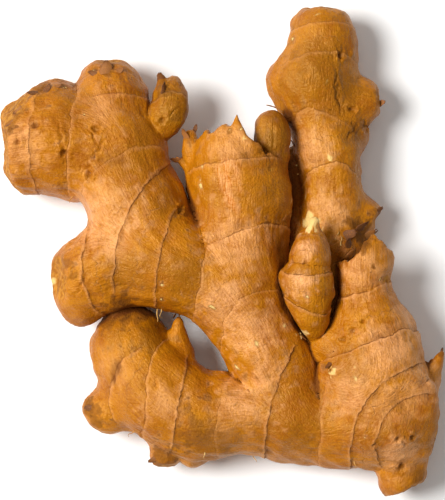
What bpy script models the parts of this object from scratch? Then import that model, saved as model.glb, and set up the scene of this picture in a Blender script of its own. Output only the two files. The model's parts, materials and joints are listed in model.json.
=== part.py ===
"""A hand of fresh ginger: one grown rhizome that lies flat, 148 mm wide, 163 mm long, 35 mm thick.

The hand is one solid. Every finger, knob and bud of it is a tube carried along its own curved
axis. A voxel remesh fuses the tubes into one skin, the creases between them are filleted, and the
growth rings, scars and swellings are then raised from that skin by formula.

Places are in millimetres from the lower left corner of the hand as it lies, x to the right, y
along the fingers and z up from the table. The finished solid has its origin under the middle of
its box, on the table.
"""

import math

import bpy
import numpy as np

MM = 0.001
NAME = "ginger_root"

# Driving dimensions, in millimetres
FLATNESS = 0.88  # how thick a finger is beside its width
AXIS_STEP = 1.0  # spacing of the points along an axis
SIDES = 40  # points round a tube
DOME_ROWS = 8  # rows of points over a rounded end
RIM_ROUNDING = 0.3  # how far the edge of a torn rim turns down
RIM_ROWS = 12  # rows of points up the wall of a torn cup
VOXEL = 0.9  # voxel of the fusing remesh
PROJECTIONS = 3  # times that the remeshed points are drawn to the filleted skin
BESIDE = 9.0  # how far from a shoot its distances are worked out
CHUNK = 4_000_000  # pairs of point and axis place in one step
CUT_ROUNDING = 1.6  # how softly a broken end meets the side of its finger
SKIN_DEPTH = (0.5, 0.9)  # from here to here under the tubes a point is inside a torn cup
CUP_MARGIN = 1.0  # how far under its floor a torn cup is taken to reach
TRIANGLES = 11000  # faces of the finished solid
KEEP_RELIEF = 0.015  # how much the thinning spares rings and scars
PLAIN_STEPS = 10
PRESSED = 0.08  # skin lower than this lies flat on the table

CUT_DISH = 0.9  # how far the middle of a broken end has sunk
CUT_DISH_WIDTH = 5.0

LUMPS = 0.45
LUMP_LENGTH = 22.0

RING_PINCH = 0.5  # how far a finger draws in at a ring
RING_REACH = 4.0
RING_LIP = 0.75  # the raised edge that an old leaf scale left, on the root side
RING_LIP_REACH = 2.0
RING_GROOVE = 0.6  # the step down behind it, on the tip side
RING_GROOVE_REACH = 1.6
RING_EDGE = 0.4  # how sharp the step is
RING_WOBBLE = 0.25  # how far a ring strays to both sides, in waves of the next length
RING_WAVE = 8.0
ARC_FADE = (-3.0, 2.0)  # a ring over a joint fades out from here to here inside its ends
SCAR_LIP = 0.4
SCAR_DEPTH = 0.9
ROOT_SCARS = 50  # drawn over the whole underside, where most of them miss the hand
ROOT_SCAR_SIZE = (0.9, 1.9)
FAR_AWAY = 1000.0

SEED = 7
SKIN_COLOUR = (0.53, 0.24, 0.045, 1.0)
SKIN_ROUGHNESS = 0.55


def shoot(name, parent, blend, path, rings=(), cuts=(), rim=None, cup=(0.0, 0.0)):
    """One finger, knob or bud.

    path holds (x, y, z, radius) down the axis from the root to the tip. blend is the width of the
    fillet with the parent. A ring is three (x, y) places on the upper face that its line passes
    through, and its step, which goes down towards the tip where it is above 0. A cut is a plane
    that ends the shoot, as ((x, y, z), (normal)). A rim is the ragged edge of a torn end, as
    (degrees round the axis, y), and cup is its wall and its depth.
    """
    return {
        "name": name,
        "parent": parent,
        "blend": blend,
        "path": path,
        "rings": rings,
        "cuts": cuts,
        "rim": rim,
        "cup": cup,
    }


SHOOTS = [
    shoot(
        "base",
        None,
        0.0,
        [
            (133.3, 30.5, 16.6, 14.6),
            (128.3, 29.0, 16.8, 15.8),
            (118.3, 26.8, 15.6, 14.9),
            (108.3, 26.0, 13.2, 13.9),
            (100.0, 26.8, 11.3, 13.6),
            (89.0, 28.4, 13.5, 13.7),
            (81.7, 30.0, 14.0, 12.4),
            (74.0, 29.3, 14.5, 12.7),
        ],
        rings=[((73.3, 16.7), (71.3, 27.3), (73.7, 36.7), 0.8)],
        cuts=[((143.0, 34.0, 15.0), (0.995, -0.1, 0.0))],
    ),
    shoot(
        "heel",
        "base",
        6.0,
        [
            (118.5, 39.5, 17.2, 14.4),
            (124.0, 35.5, 17.4, 15.8),
            (130.0, 31.0, 17.2, 15.2),
            (134.8, 24.5, 15.0, 11.8),
            (134.7, 15.5, 13.0, 8.7),
            (134.3, 7.0, 12.5, 8.4),
        ],
        cuts=[
            ((144.2, 34.0, 15.0), (0.995, -0.1, 0.0)),
            ((134.3, 3.9, 12.0), (0.42, -0.905, 0.05)),
        ],
    ),
    shoot(
        "heel_spike",
        "heel",
        3.0,
        [
            (137.0, 33.0, 16.0, 7.8),
            (141.6, 40.5, 16.5, 5.2),
            (144.6, 46.0, 17.0, 2.9),
            (146.7, 50.0, 17.0, 1.1),
        ],
    ),
    shoot(
        "left",
        "base",
        6.0,
        [
            (76.0, 29.3, 14.5, 12.7),
            (63.3, 29.7, 15.0, 15.2),
            (53.6, 35.9, 15.5, 15.7),
            (46.2, 44.2, 14.7, 14.4),
            (43.5, 51.7, 12.8, 13.1),
            (43.2, 55.5, 11.8, 10.9),
        ],
        rings=[
            ((57.3, 15.0), (58.0, 26.7), (61.0, 41.7), -0.9),
            ((46.7, 23.3), (48.7, 35.0), (54.0, 50.0), 0.7),
        ],
    ),
    shoot(
        "left_knob",
        "left",
        3.5,
        [
            (41.5, 35.0, 13.5, 8.4),
            (35.0, 30.6, 12.5, 7.6),
            (33.2, 30.8, 12.5, 5.8),
        ],
    ),
    shoot(
        "left_stub",
        "left",
        3.0,
        [(55.3, 23.0, 13.0, 6.2), (55.0, 16.5, 12.0, 5.4)],
        cuts=[((55.0, 11.3, 12.0), (0.05, -0.95, 0.3))],
    ),
    shoot(
        "left_lump", "left", 3.0, [(64.0, 21.0, 13.0, 6.0), (64.0, 16.7, 12.0, 5.2)]
    ),
    shoot(
        "left_bud",
        "left",
        3.0,
        [
            (60.3, 49.0, 15.0, 4.5),
            (58.7, 55.7, 16.5, 3.2),
            (59.2, 61.3, 18.0, 1.1),
        ],
    ),
    shoot(
        "middle",
        "base",
        5.0,
        [
            (97.5, 29.3, 14.0, 13.6),
            (92.0, 44.0, 15.2, 13.6),
            (85.5, 56.7, 16.2, 14.1),
            (80.3, 69.3, 16.5, 15.0),
            (79.7, 83.3, 16.5, 15.7),
            (79.7, 95.0, 16.5, 16.3),
            (79.7, 106.7, 16.5, 16.8),
            (79.3, 114.0, 16.5, 16.3),
            (79.3, 121.0, 16.5, 15.0),
            (79.3, 128.0, 16.5, 13.0),
        ],
        rings=[
            ((68.3, 112.3), (80.0, 114.0), (91.7, 114.7), 0.6),
            ((67.7, 83.0), (77.3, 89.7), (95.0, 92.7), 0.9),
            ((74.0, 56.7), (80.0, 66.7), (91.7, 71.3), 0.9),
        ],
        rim=[
            (0, 114.5),
            (35, 115.0),
            (58, 116.7),
            (70, 119.7),
            (80, 122.0),
            (86, 125.0),
            (93, 127.7),
            (98, 126.0),
            (114, 125.0),
            (125, 122.7),
            (141, 123.3),
            (165, 120.0),
            (200, 117.5),
            (235, 120.5),
            (270, 118.0),
            (310, 117.0),
        ],
        cup=(2.0, 4.5),
    ),
    shoot(
        "middle_bud_right",
        "middle",
        1.5,
        [
            (90.0, 111.0, 18.5, 5.3),
            (90.3, 120.5, 19.5, 6.2),
            (90.4, 124.8, 19.0, 6.0),
        ],
    ),
    shoot(
        "middle_bud_left",
        "middle",
        1.5,
        [
            (66.7, 111.7, 17.0, 4.0),
            (63.5, 117.7, 18.0, 3.4),
            (63.2, 122.2, 18.0, 2.0),
        ],
    ),
    shoot(
        "middle_scale",
        "middle",
        2.0,
        [
            (66.5, 109.0, 17.0, 3.0),
            (61.5, 113.0, 17.0, 1.7),
            (58.9, 114.3, 17.0, 1.0),
        ],
    ),
    shoot(
        "arm",
        "middle",
        8.0,
        [
            (80.0, 70.0, 17.0, 14.0),
            (70.0, 75.0, 18.0, 14.6),
            (60.0, 78.7, 18.5, 15.0),
            (50.0, 80.7, 18.5, 14.7),
            (40.0, 79.3, 18.0, 13.8),
            (32.7, 77.0, 17.5, 14.4),
            (27.3, 75.3, 17.0, 12.0),
        ],
        rings=[
            ((67.7, 83.3), (65.3, 73.3), (64.0, 61.7), 0.8),
            ((29.3, 88.3), (29.3, 76.7), (32.7, 65.7), -0.9),
        ],
        cuts=[((17.8, 75.0, 17.0), (-0.9, -0.1, 0.42))],
    ),
    shoot("arm_lobe", "arm", 3.5, [(31.0, 72.0, 16.0, 8.0), (26.8, 66.3, 15.5, 7.7)]),
    shoot("arm_lump", "arm", 2.5, [(56.0, 95.5, 18.0, 5.5), (59.5, 97.8, 18.5, 3.6)]),
    shoot(
        "crown",
        "arm",
        8.0,
        [
            (55.0, 81.7, 18.0, 15.3),
            (48.7, 91.7, 18.0, 16.3),
            (43.0, 103.3, 17.0, 16.2),
            (40.0, 115.0, 16.0, 16.0),
            (37.3, 126.0, 15.0, 13.7),
            (36.7, 133.3, 14.5, 12.7),
            (36.0, 137.8, 14.0, 11.0),
        ],
        rings=[
            ((30.7, 106.7), (39.3, 114.3), (53.3, 117.3), 0.6),
            ((26.0, 132.3), (36.7, 134.7), (48.7, 134.7), 0.45),
            ((26.7, 141.0), (36.0, 143.7), (45.7, 140.3), 0.45),
        ],
        cuts=[((36.0, 148.2, 14.0), (0.0, 0.98, 0.2))],
    ),
    shoot(
        "crown_knob",
        "crown",
        5.0,
        [
            (36.7, 116.0, 15.5, 14.7),
            (26.0, 119.3, 15.0, 17.3),
            (16.7, 121.0, 15.0, 18.0),
            (9.0, 119.8, 15.0, 17.0),
        ],
        rings=[
            ((24.3, 129.3), (22.7, 116.7), (23.3, 101.3), 0.7),
            ((11.0, 131.7), (10.3, 116.7), (12.7, 102.7), -0.6),
        ],
        cuts=[
            ((1.5, 118.0, 15.0), (-0.98, -0.05, 0.12)),
            ((7.0, 135.4, 15.0), (-0.7, 0.63, 0.33)),
            ((4.0, 107.0, 15.0), (-0.8, -0.6, 0.0)),
        ],
    ),
    shoot(
        "crown_knob_top",
        "crown_knob",
        4.0,
        [(21.0, 122.0, 15.0, 13.0), (18.4, 130.0, 14.5, 11.4)],
        cuts=[((9.0, 138.4, 15.0), (-0.52, 0.8, 0.3))],
    ),
    shoot(
        "crown_knob_heel",
        "crown_knob",
        4.0,
        [(31.0, 110.0, 15.0, 9.0), (25.0, 107.0, 14.0, 6.6)],
    ),
    shoot(
        "crown_bud",
        "crown",
        0.9,
        [
            (50.0, 122.5, 15.0, 4.0),
            (54.2, 127.2, 18.0, 5.8),
            (56.2, 131.0, 18.5, 6.2),
            (57.0, 135.5, 18.0, 5.2),
            (57.6, 139.5, 17.5, 2.6),
        ],
        rings=[((51.5, 133.5), (56.0, 136.0), (61.0, 134.5), 0.6)],
    ),
    shoot(
        "crown_bud_scale",
        "crown_bud",
        1.2,
        [(54.0, 136.0, 17.0, 3.0), (53.6, 141.0, 17.6, 1.3)],
    ),
    shoot(
        "right",
        "heel",
        6.0,
        [
            (124.5, 28.5, 17.0, 14.0),
            (125.3, 38.3, 17.4, 16.2),
            (125.1, 49.0, 18.0, 16.0),
            (122.5, 60.0, 18.8, 12.4),
            (121.3, 68.3, 19.5, 9.8),
            (120.8, 76.7, 20.0, 9.2),
            (120.9, 83.3, 20.5, 8.7),
            (121.3, 91.0, 21.0, 7.0),
        ],
        rings=[
            ((112.3, 69.0), (119.0, 71.0), (130.3, 74.0), 0.8),
            ((112.0, 48.7), (120.7, 54.0), (136.0, 59.0), 1.0),
        ],
        rim=[
            (0, 81.0),
            (20, 84.5),
            (36, 86.5),
            (55, 88.3),
            (72, 90.3),
            (86, 88.0),
            (99, 86.0),
            (108, 83.3),
            (123, 80.7),
            (150, 80.3),
            (180, 79.5),
            (230, 81.0),
            (270, 79.5),
            (320, 82.0),
        ],
        cup=(1.7, 5.0),
    ),
    shoot("right_lobe", "right", 4.0, [(122.0, 50.0, 17.5, 11.0), (110.8, 52.8, 17.0, 8.4)]),
    shoot(
        "far",
        "base",
        4.0,
        [
            (108.0, 39.0, 10.5, 10.0),
            (107.3, 55.0, 9.5, 9.3),
            (109.3, 70.0, 9.5, 9.3),
            (112.3, 84.0, 10.2, 9.7),
            (112.0, 91.7, 11.2, 11.0),
            (110.7, 100.0, 12.0, 10.3),
            (110.0, 108.3, 12.5, 10.0),
            (109.7, 116.7, 12.5, 11.0),
            (107.0, 127.3, 12.0, 11.3),
            (105.0, 136.7, 11.3, 13.6),
            (105.7, 145.0, 11.8, 13.0),
            (107.2, 152.7, 11.5, 11.4),
            (107.2, 155.7, 11.5, 10.6),
        ],
        rings=[
            ((98.0, 158.0), (106.0, 160.0), (116.7, 158.7), 0.5),
            ((95.0, 146.7), (103.3, 149.7), (117.3, 147.3), 0.45),
            ((97.7, 127.3), (105.0, 130.3), (116.7, 124.3), 0.6),
            ((100.7, 108.7), (108.3, 113.0), (119.3, 108.0), 0.6),
        ],
        cuts=[((107.3, 164.8, 11.5), (0.0, 1.0, 0.1))],
    ),
    shoot("far_shoulder", "far", 5.0, [(102.5, 138.3, 12.0, 8.0), (96.7, 141.5, 11.0, 7.7)]),
    shoot(
        "far_knob",
        "far",
        5.0,
        [(112.0, 129.0, 12.0, 9.0), (120.2, 134.0, 12.0, 7.2)],
        cuts=[((126.9, 134.0, 12.0), (0.95, 0.12, 0.28))],
    ),
    shoot("far_skirt", "far", 4.0, [(113.0, 126.0, 12.0, 7.0), (117.3, 122.6, 12.0, 5.2)]),
    shoot(
        "far_foot",
        "far",
        3.0,
        [(114.0, 97.0, 11.0, 7.0), (122.2, 95.6, 12.0, 5.0)],
        cuts=[((126.6, 95.0, 12.0), (0.9, -0.35, 0.3))],
    ),
    shoot(
        "far_bud",
        "far",
        1.2,
        [(111.5, 80.0, 13.0, 5.0), (112.8, 84.5, 16.0, 5.4), (114.2, 88.0, 16.5, 4.6)],
        rings=[
            ((108.5, 84.5), (112.0, 88.0), (117.0, 88.5), 0.7),
            ((109.0, 80.5), (113.0, 83.5), (118.0, 84.0), 0.7),
        ],
    ),
    shoot(
        "far_root",
        "far",
        5.0,
        [
            (100.5, 58.0, 8.0, 7.5),
            (99.8, 78.0, 7.0, 7.0),
            (98.6, 96.0, 6.6, 6.2),
            (98.0, 108.0, 6.6, 5.2),
            (97.6, 114.0, 6.8, 4.0),
        ],
    ),
    shoot(
        "front",
        "base",
        3.0,
        [
            (106.5, 50.5, 13.0, 4.0),
            (104.6, 57.8, 21.0, 3.5),
            (103.6, 62.3, 24.0, 5.2),
            (102.6, 67.5, 25.5, 7.4),
            (101.9, 73.6, 26.0, 8.8),
            (102.8, 78.2, 26.0, 6.7),
            (102.9, 82.5, 26.4, 7.2),
            (102.7, 85.6, 26.4, 6.7),
        ],
        rings=[
            ((95.8, 78.2), (102.5, 76.6), (110.0, 78.0), 0.9),
            ((95.7, 67.5), (101.7, 65.2), (109.3, 64.8), 0.8),
            ((97.0, 88.7), (103.0, 91.0), (108.0, 88.7), 0.4),
        ],
    ),
    shoot("front_lobe", "front", 2.0, [(99.5, 74.0, 26.0, 5.5), (95.6, 74.8, 25.0, 3.6)]),
    shoot("front_tip", "front", 1.5, [(103.5, 90.0, 27.0, 3.0), (104.0, 93.3, 28.0, 1.9)]),
    shoot("under_bud_middle", "middle", 2.5, [(76.0, 96.0, 6.0, 4.0), (72.5, 101.0, 4.6, 3.6)]),
    shoot("under_bud_arm", "arm", 2.5, [(50.0, 80.0, 8.0, 4.5), (47.0, 75.5, 6.2, 4.2)]),
    shoot("under_knob_right", "right", 3.0, [(128.0, 46.0, 6.0, 6.0), (131.0, 52.0, 6.0, 4.6)]),
]


# Rings that run on over a joint, where no one axis carries them, as three (x, y) places and the
# step, which goes down away from the middle of their circle where it is above 0
ARCS = [
    ((53.3, 110.5), (42.5, 95.5), (38.5, 70.0), -0.9),
    ((58.5, 97.0), (53.2, 81.0), (52.3, 64.5), -0.8),
    ((38.0, 26.5), (37.2, 41.0), (45.5, 51.5), 0.6),
    ((96.0, 48.5), (90.2, 33.5), (88.3, 13.5), -0.9),
    ((107.6, 40.5), (106.2, 26.0), (105.5, 12.0), 0.45),
    ((116.3, 12.5), (120.6, 33.0), (140.0, 46.7), -0.9),
    ((126.2, 12.5), (127.6, 29.5), (142.5, 36.8), -0.8),
]

# Pits and eyes on the upper face, as (x, y, radius)
SCARS = [
    (12.3, 125.3, 2.1),
    (6.4, 119.7, 1.3),
    (32.3, 123.7, 1.7),
    (22.0, 116.0, 1.5),
    (29.7, 108.7, 1.3),
    (54.0, 127.0, 1.4),
    (116.7, 57.7, 1.4),
    (113.7, 54.7, 1.2),
    (120.0, 60.7, 1.0),
    (133.0, 12.3, 1.8),
    (131.3, 22.3, 1.2),
    (123.7, 20.0, 1.0),
    (136.3, 22.3, 1.2),
    (113.4, 148.8, 1.5),
    (117.0, 131.0, 1.4),
    (60.0, 97.6, 1.5),
]
HAND_SIZE = (147.0, 164.0)  # where the underside's scars are drawn


def axis_of(path):
    """The axis as a smooth curve through the path's points, by cubic Hermite spans over chord length.

    Returns places, radii, tangents and lengths at even steps. Heights are stretched by the
    flatness, so that every section is round while the hand is being shaped.
    """
    knots = np.array(path, float)
    knots[:, 2] /= FLATNESS
    spans = np.linalg.norm(np.diff(knots[:, :3], axis=0), axis=1)
    slopes = np.diff(knots, axis=0) / spans[:, None]
    inner = (slopes[:-1] * spans[1:, None] + slopes[1:] * spans[:-1, None]) / (
        spans[:-1] + spans[1:]
    )[:, None]
    tangents = np.vstack([slopes[:1], inner, slopes[-1:]])
    ends = np.concatenate([[0.0], np.cumsum(spans)])
    lengths = np.linspace(0.0, ends[-1], max(4, round(ends[-1] / AXIS_STEP) + 1))
    span = np.clip(np.searchsorted(ends, lengths, side="right") - 1, 0, len(spans) - 1)
    width = spans[span][:, None]
    t = (lengths[:, None] - ends[span][:, None]) / width
    curve = (
        (2 * t**3 - 3 * t**2 + 1) * knots[span]
        + (t**3 - 2 * t**2 + t) * width * tangents[span]
        + (3 * t**2 - 2 * t**3) * knots[span + 1]
        + (t**3 - t**2) * width * tangents[span + 1]
    )
    forward = np.gradient(curve[:, :3], axis=0)
    forward /= np.linalg.norm(forward, axis=1)[:, None]
    return curve[:, :3], curve[:, 3], forward, lengths


def across_of(forward):
    """Two unit vectors across each tangent: one level and to its right, one upwards."""
    level = np.cross(forward, (0.0, 0.0, 1.0))
    level /= np.linalg.norm(level, axis=-1, keepdims=True)
    return level, np.cross(level, forward)


def rim_at(form, degrees):
    """The place of a torn end's ragged edge along y, by degrees round the axis."""
    angles, edge = np.array(form["rim"], float).T
    return np.interp(degrees % 360, angles, edge, period=360)


def tube_of(form):
    """The closed tube of one shoot, as rows of points round its axis, with a point at each end.

    A row is centre + radius * (cos * level + sin * up). An end is a dome. Where the shoot has a
    rim, the wall runs on up to the rim instead, turns over it and comes down inside to the floor
    of a shallow cup.
    """
    centres, radii, forward, _ = form["axis"]
    turn = np.linspace(0.0, 2 * math.pi, SIDES, endpoint=False)
    around = np.stack([np.cos(turn), np.sin(turn)], -1)
    bow = np.linspace(0.0, math.pi / 2, DOME_ROWS, endpoint=False)[1:, None]

    def rows(centre, radius, heading):
        """Rows round centres that have a radius and a heading each."""
        basis = np.stack(across_of(heading), -2)
        return centre[:, None] + radius[:, None, None] * (around @ basis)

    def dome(end, side, angles):
        """Rows over the rounded end, which is on this side of its last centre."""
        centre = centres[end] + side * radii[end] * np.sin(angles) * forward[end]
        heading = np.repeat(forward[end][None], len(angles), axis=0)
        return rows(centre, radii[end] * np.cos(angles)[:, 0], heading)

    def level_rows(y, inset):
        """Rows at heights y of the hand, which change round the axis, this far inside the wall."""
        middle = np.stack([np.interp(y, centres[:, 1], centres[:, k]) for k in range(3)], -1)
        radius = np.interp(y, centres[:, 1], radii) - inset
        return middle + radius[..., None] * (around @ np.stack(across_of(forward[-1])))

    first = centres[0] - radii[0] * forward[0]
    if form["rim"] is None:
        last = centres[-1] + radii[-1] * forward[-1]
        parts = [dome(0, -1, bow[::-1]), rows(centres, radii, forward), dome(-1, 1, bow)]
    else:
        rim = rim_at(form, np.degrees(turn))
        wall = form["cup"][0]
        floor = form["floor"]
        below = centres[:, 1] < floor
        steps = np.linspace(0.0, 1.0, RIM_ROWS)[:, None]
        turned = np.array([[0.5], [1.0]])
        parts = [
            dome(0, -1, bow[::-1]),
            rows(centres[below], radii[below], forward[below]),
            level_rows(floor + (rim - floor) * steps, 0.0),
            level_rows(rim - RIM_ROUNDING * turned, wall * turned),
            level_rows(floor + (rim - floor) * steps[-2:3:-1], wall),
        ]
        last = parts[-1][-1].mean(axis=0)
    rings = np.concatenate(parts)
    points = np.vstack([first, rings.reshape(-1, 3), last])
    for place, normal in form["planes"]:
        points -= np.outer(np.maximum((points - place) @ normal, 0.0), normal)
    return points, tube_faces(len(rings), SIDES)


def tube_faces(rows, sides):
    """Faces of a tube whose first and last points close it: two fans and the quads between."""
    i = np.arange(sides)
    j = (i + 1) % sides
    start = 1 + np.arange(rows - 1)[:, None] * sides
    quads = np.stack([start + i, start + j, start + sides + j, start + sides + i], -1)
    end = np.full(sides, rows * sides + 1)
    top = 1 + (rows - 1) * sides
    fans = [np.stack([0 * i, 1 + j, 1 + i], -1), np.stack([top + i, top + j, end], -1)]
    return np.concatenate(fans).tolist() + quads.reshape(-1, 4).tolist()


def prepared(shoots):
    """Gives each shoot its axis, its cuts as planes in the stretched space, and its rings."""
    squash = np.array([1.0, 1.0, FLATNESS])
    for form in shoots:
        form["axis"] = axis_of(form["path"])
        form["planes"] = []
        for place, normal in form["cuts"]:
            stretched = np.array(normal) * squash
            normal = stretched / np.linalg.norm(stretched)
            form["planes"].append((np.array(place) / squash, normal))
        form["floor"] = FAR_AWAY
        if form["rim"] is not None:
            form["floor"] = rim_at(form, np.arange(360.0)).min() - form["cup"][1]
        form["lines"] = ring_lines(form)


def ring_lines(form):
    """Each ring as (length, slant, bow, step): its line is where the length along the axis is
    length + slant * right + bow * up.

    The first three come from the three places on the upper face that the line passes through.
    """
    lines = []
    centres, radii, forward, lengths = form["axis"]
    level, _ = across_of(forward)
    for *places, step in form["rings"]:
        rows = []
        for x, y in places:
            flat = np.hypot(centres[:, 0] - x, centres[:, 1] - y)
            k = int(flat.argmin())
            offset = np.array([x, y, centres[k, 2]]) - centres[k]
            right = float(offset @ level[k])
            height = math.sqrt(max(radii[k] ** 2 - right**2, 0.0))
            rows.append((lengths[k] + float(offset @ forward[k]), right, height))
        along, right, height = np.array(rows).T
        line = np.linalg.solve(np.stack([np.ones(3), right, height], -1), along)
        lines.append((*line, step))
    return lines


def near_axis(form, points):
    """Where points lie beside one shoot: the distance to its skin, the way out, and its own
    coordinates, which are the length along the axis and the offsets to the right and up."""
    centres, radii, forward, lengths = form["axis"]
    gap = np.full(len(points), FAR_AWAY)
    out = np.zeros((len(points), 3))
    own = np.zeros((len(points), 3))
    reach = radii.max() + BESIDE
    inside = (points > centres.min(0) - reach) & (points < centres.max(0) + reach)
    close = np.flatnonzero(inside.all(axis=1))
    for part in np.array_split(close, max(1, len(close) * len(centres) // CHUNK)):
        p = points[part]
        apart = np.linalg.norm(p[:, None] - centres[None], axis=2) - radii
        k = np.clip(apart.argmin(axis=1), 1, len(centres) - 2)
        rows = np.arange(len(p))
        before, here, after = apart[rows, k - 1], apart[rows, k], apart[rows, k + 1]
        bend = np.maximum(before - 2 * here + after, 1e-6)
        shift = np.clip(0.5 * (before - after) / bend, -1.0, 1.0)
        other = k + np.where(shift < 0, -1, 1)
        share = np.abs(shift)[:, None]
        centre = centres[k] * (1 - share) + centres[other] * share
        radius = radii[k] * (1 - share[:, 0]) + radii[other] * share[:, 0]
        heading = forward[k] * (1 - share) + forward[other] * share
        level, up = across_of(heading)
        offset = p - centre
        away = np.linalg.norm(offset, axis=1)
        gap[part] = away - radius
        out[part] = offset / np.maximum(away, 1e-6)[:, None]
        along = lengths[k] + shift * AXIS_STEP + (offset * heading).sum(axis=1)
        own[part] = np.stack([along, (offset * level).sum(axis=1), (offset * up).sum(axis=1)], -1)
    for place, normal in form["planes"]:
        past = (points - place) @ normal
        past += CUT_DISH * bell(np.linalg.norm(points - place, axis=1), CUT_DISH_WIDTH)
        mix = np.clip(0.5 + 0.5 * (past - gap) / CUT_ROUNDING, 0.0, 1.0)
        gap = gap + mix * (past - gap) + CUT_ROUNDING * mix * (1 - mix)
        out = out + mix[:, None] * (normal - out)
    if form["rim"] is not None:
        past = points[:, 1] - rim_at(form, np.degrees(np.arctan2(own[:, 2], own[:, 1])))
        above = past > gap
        gap = np.where(above, past, gap)
        out[above] = (0.0, 1.0, 0.0)
    return gap, out, own


def skin_field(shoots, points):
    """The smooth skin of the whole hand at points.

    Each shoot is joined to its parent by a smooth minimum of their distances, and the least of
    those counts. Returns the distance, the way out, the distance to the unblended tubes, the
    shoot and parent that each point lies between, the shoot's share, and the own coordinates.
    """
    order = {form["name"]: i for i, form in enumerate(shoots)}
    found = [near_axis(form, points) for form in shoots]
    gap, out, own = (np.stack([f[k] for f in found]) for k in range(3))
    best = np.full(len(points), FAR_AWAY)
    way = np.zeros((len(points), 3))
    pair = np.zeros((len(points), 2), int)
    share = np.ones(len(points))
    for i, form in enumerate(shoots):
        j = order.get(form["parent"], i)
        blend = max(form["blend"], 1e-3)
        mix = np.clip(0.5 + 0.5 * (gap[j] - gap[i]) / blend, 0.0, 1.0)
        mix = np.maximum(mix, float(j == i))
        joined = gap[j] + mix * (gap[i] - gap[j]) - blend * mix * (1 - mix)
        less = joined < best
        best[less] = joined[less]
        way[less] = (out[j] + mix[:, None] * (out[i] - out[j]))[less]
        pair[less] = (i, j)
        share[less] = mix[less]
    way /= np.maximum(np.linalg.norm(way, axis=1), 1e-6)[:, None]
    return best, way, gap.min(axis=0), pair, share, own


def waves(points, length, seed, count=14):
    """Smooth noise of about unit size: a sum of sine waves of one length in random directions."""
    rng = np.random.default_rng(seed)
    heading = rng.normal(size=(count, 3))
    heading *= 2 * math.pi / length / np.linalg.norm(heading, axis=1)[:, None]
    heading *= rng.uniform(0.75, 1.3, size=(count, 1))
    phase = rng.uniform(0, 2 * math.pi, count)
    return np.sin(points @ heading.T + phase).sum(axis=1) / math.sqrt(count / 2)


def bell(distance, width):
    return np.exp(-((distance / width) ** 2))


def rise(value, low, high):
    """0 below low, 1 above high, and smooth between."""
    t = np.clip((value - low) / (high - low), 0.0, 1.0)
    return t * t * (3 - 2 * t)


def stepped(past, step, ragged):
    """The relief of one ring at signed distances from it: a wide pinch with a ragged step in it,
    where the skin rises to a lip and then drops into a groove."""
    past = math.copysign(1.0, step) * past + ragged
    lip = RING_LIP * np.exp(-np.abs(past) / RING_LIP_REACH)
    groove = RING_GROOVE * np.exp(-np.abs(past) / RING_GROOVE_REACH)
    down = 0.5 + 0.5 * np.tanh(past / RING_EDGE)
    return abs(step) * (lip - (lip + groove) * down - RING_PINCH * bell(past, RING_REACH))


def ring_relief(form, own, ragged):
    """How far its rings raise or lower the skin of one shoot."""
    along, right, up = own.T
    return sum(
        stepped(along - (length + slant * right + bow * up), step, ragged)
        for length, slant, bow, step in form["lines"]
    )


def arc_relief(points, ragged):
    """The relief of the rings over joints, each a part of an upright cylinder through its three
    places. From x * x + y * y = 2 * a * x + 2 * b * y + c at the three, (a, b) is its middle."""
    raised = np.zeros(len(points))
    for *places, step in ARCS:
        xy = np.array(places)
        *middle, c = np.linalg.solve(np.column_stack([2 * xy, np.ones(3)]), (xy**2).sum(axis=1))
        radius = math.sqrt(c + middle[0] ** 2 + middle[1] ** 2)
        offset = points[:, :2] - middle
        toward = (xy[1] - middle) / radius
        ends = (xy[[0, 2]] - middle) @ toward / radius
        half = math.acos(ends.min())
        away = np.linalg.norm(offset, axis=1)
        turned = np.arccos(np.clip(offset @ toward / np.maximum(away, 1e-6), -1.0, 1.0))
        raised += rise((half - turned) * radius, *ARC_FADE) * stepped(away - radius, step, ragged)
    return raised


def scar_relief(points, way):
    """Round scars as a dished middle with a raised lip: SCARS on the upper face, and the scars of
    the cut roots drawn at random on the underside."""
    rng = np.random.default_rng(SEED + 9)
    places = rng.uniform((0.0, 0.0), HAND_SIZE, (ROOT_SCARS, 2))
    sizes = rng.uniform(*ROOT_SCAR_SIZE, ROOT_SCARS)
    raised = np.zeros(len(points))
    over = [(x, y, size, way[:, 2] > 0.1) for x, y, size in SCARS]
    under = [(x, y, size, way[:, 2] < -0.3) for (x, y), size in zip(places, sizes)]
    for x, y, size, side in over + under:
        apart = np.hypot(points[:, 0] - x, points[:, 1] - y)
        scar = SCAR_LIP * bell(apart - size, 0.5 * size) - SCAR_DEPTH * bell(apart, 0.7 * size)
        raised += np.where(side, scar, 0.0)
    return raised


def relief(shoots, points, way, pair, share, own):
    """The whole relief at skin points: soft lumps, scars, and the rings of the shoots there."""
    ragged = RING_WOBBLE * waves(points, RING_WAVE, SEED)
    raised = LUMPS * waves(points, LUMP_LENGTH, SEED + 2)
    raised += scar_relief(points, way) + arc_relief(points, ragged)
    for i, form in enumerate(shoots):
        for side, part in ((0, share), (1, 1 - share)):
            here = (pair[:, side] == i) & (part > 0)
            if form["rings"] and here.any():
                raised[here] += part[here] * ring_relief(form, own[i, here], ragged[here])
    return raised


def mesh_points(mesh):
    flat = np.empty(len(mesh.vertices) * 3, np.float32)
    mesh.vertices.foreach_get("co", flat)
    return flat.reshape(-1, 3).astype(float)


def placed(mesh, points):
    mesh.vertices.foreach_set("co", points.astype(np.float32).ravel())


def baked(obj):
    """Replaces the object's mesh by what its modifiers make of it."""
    graph = bpy.context.evaluated_depsgraph_get()
    mesh = bpy.data.meshes.new_from_object(obj.evaluated_get(graph))
    obj.modifiers.clear()
    obj.data = mesh
    return mesh


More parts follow.
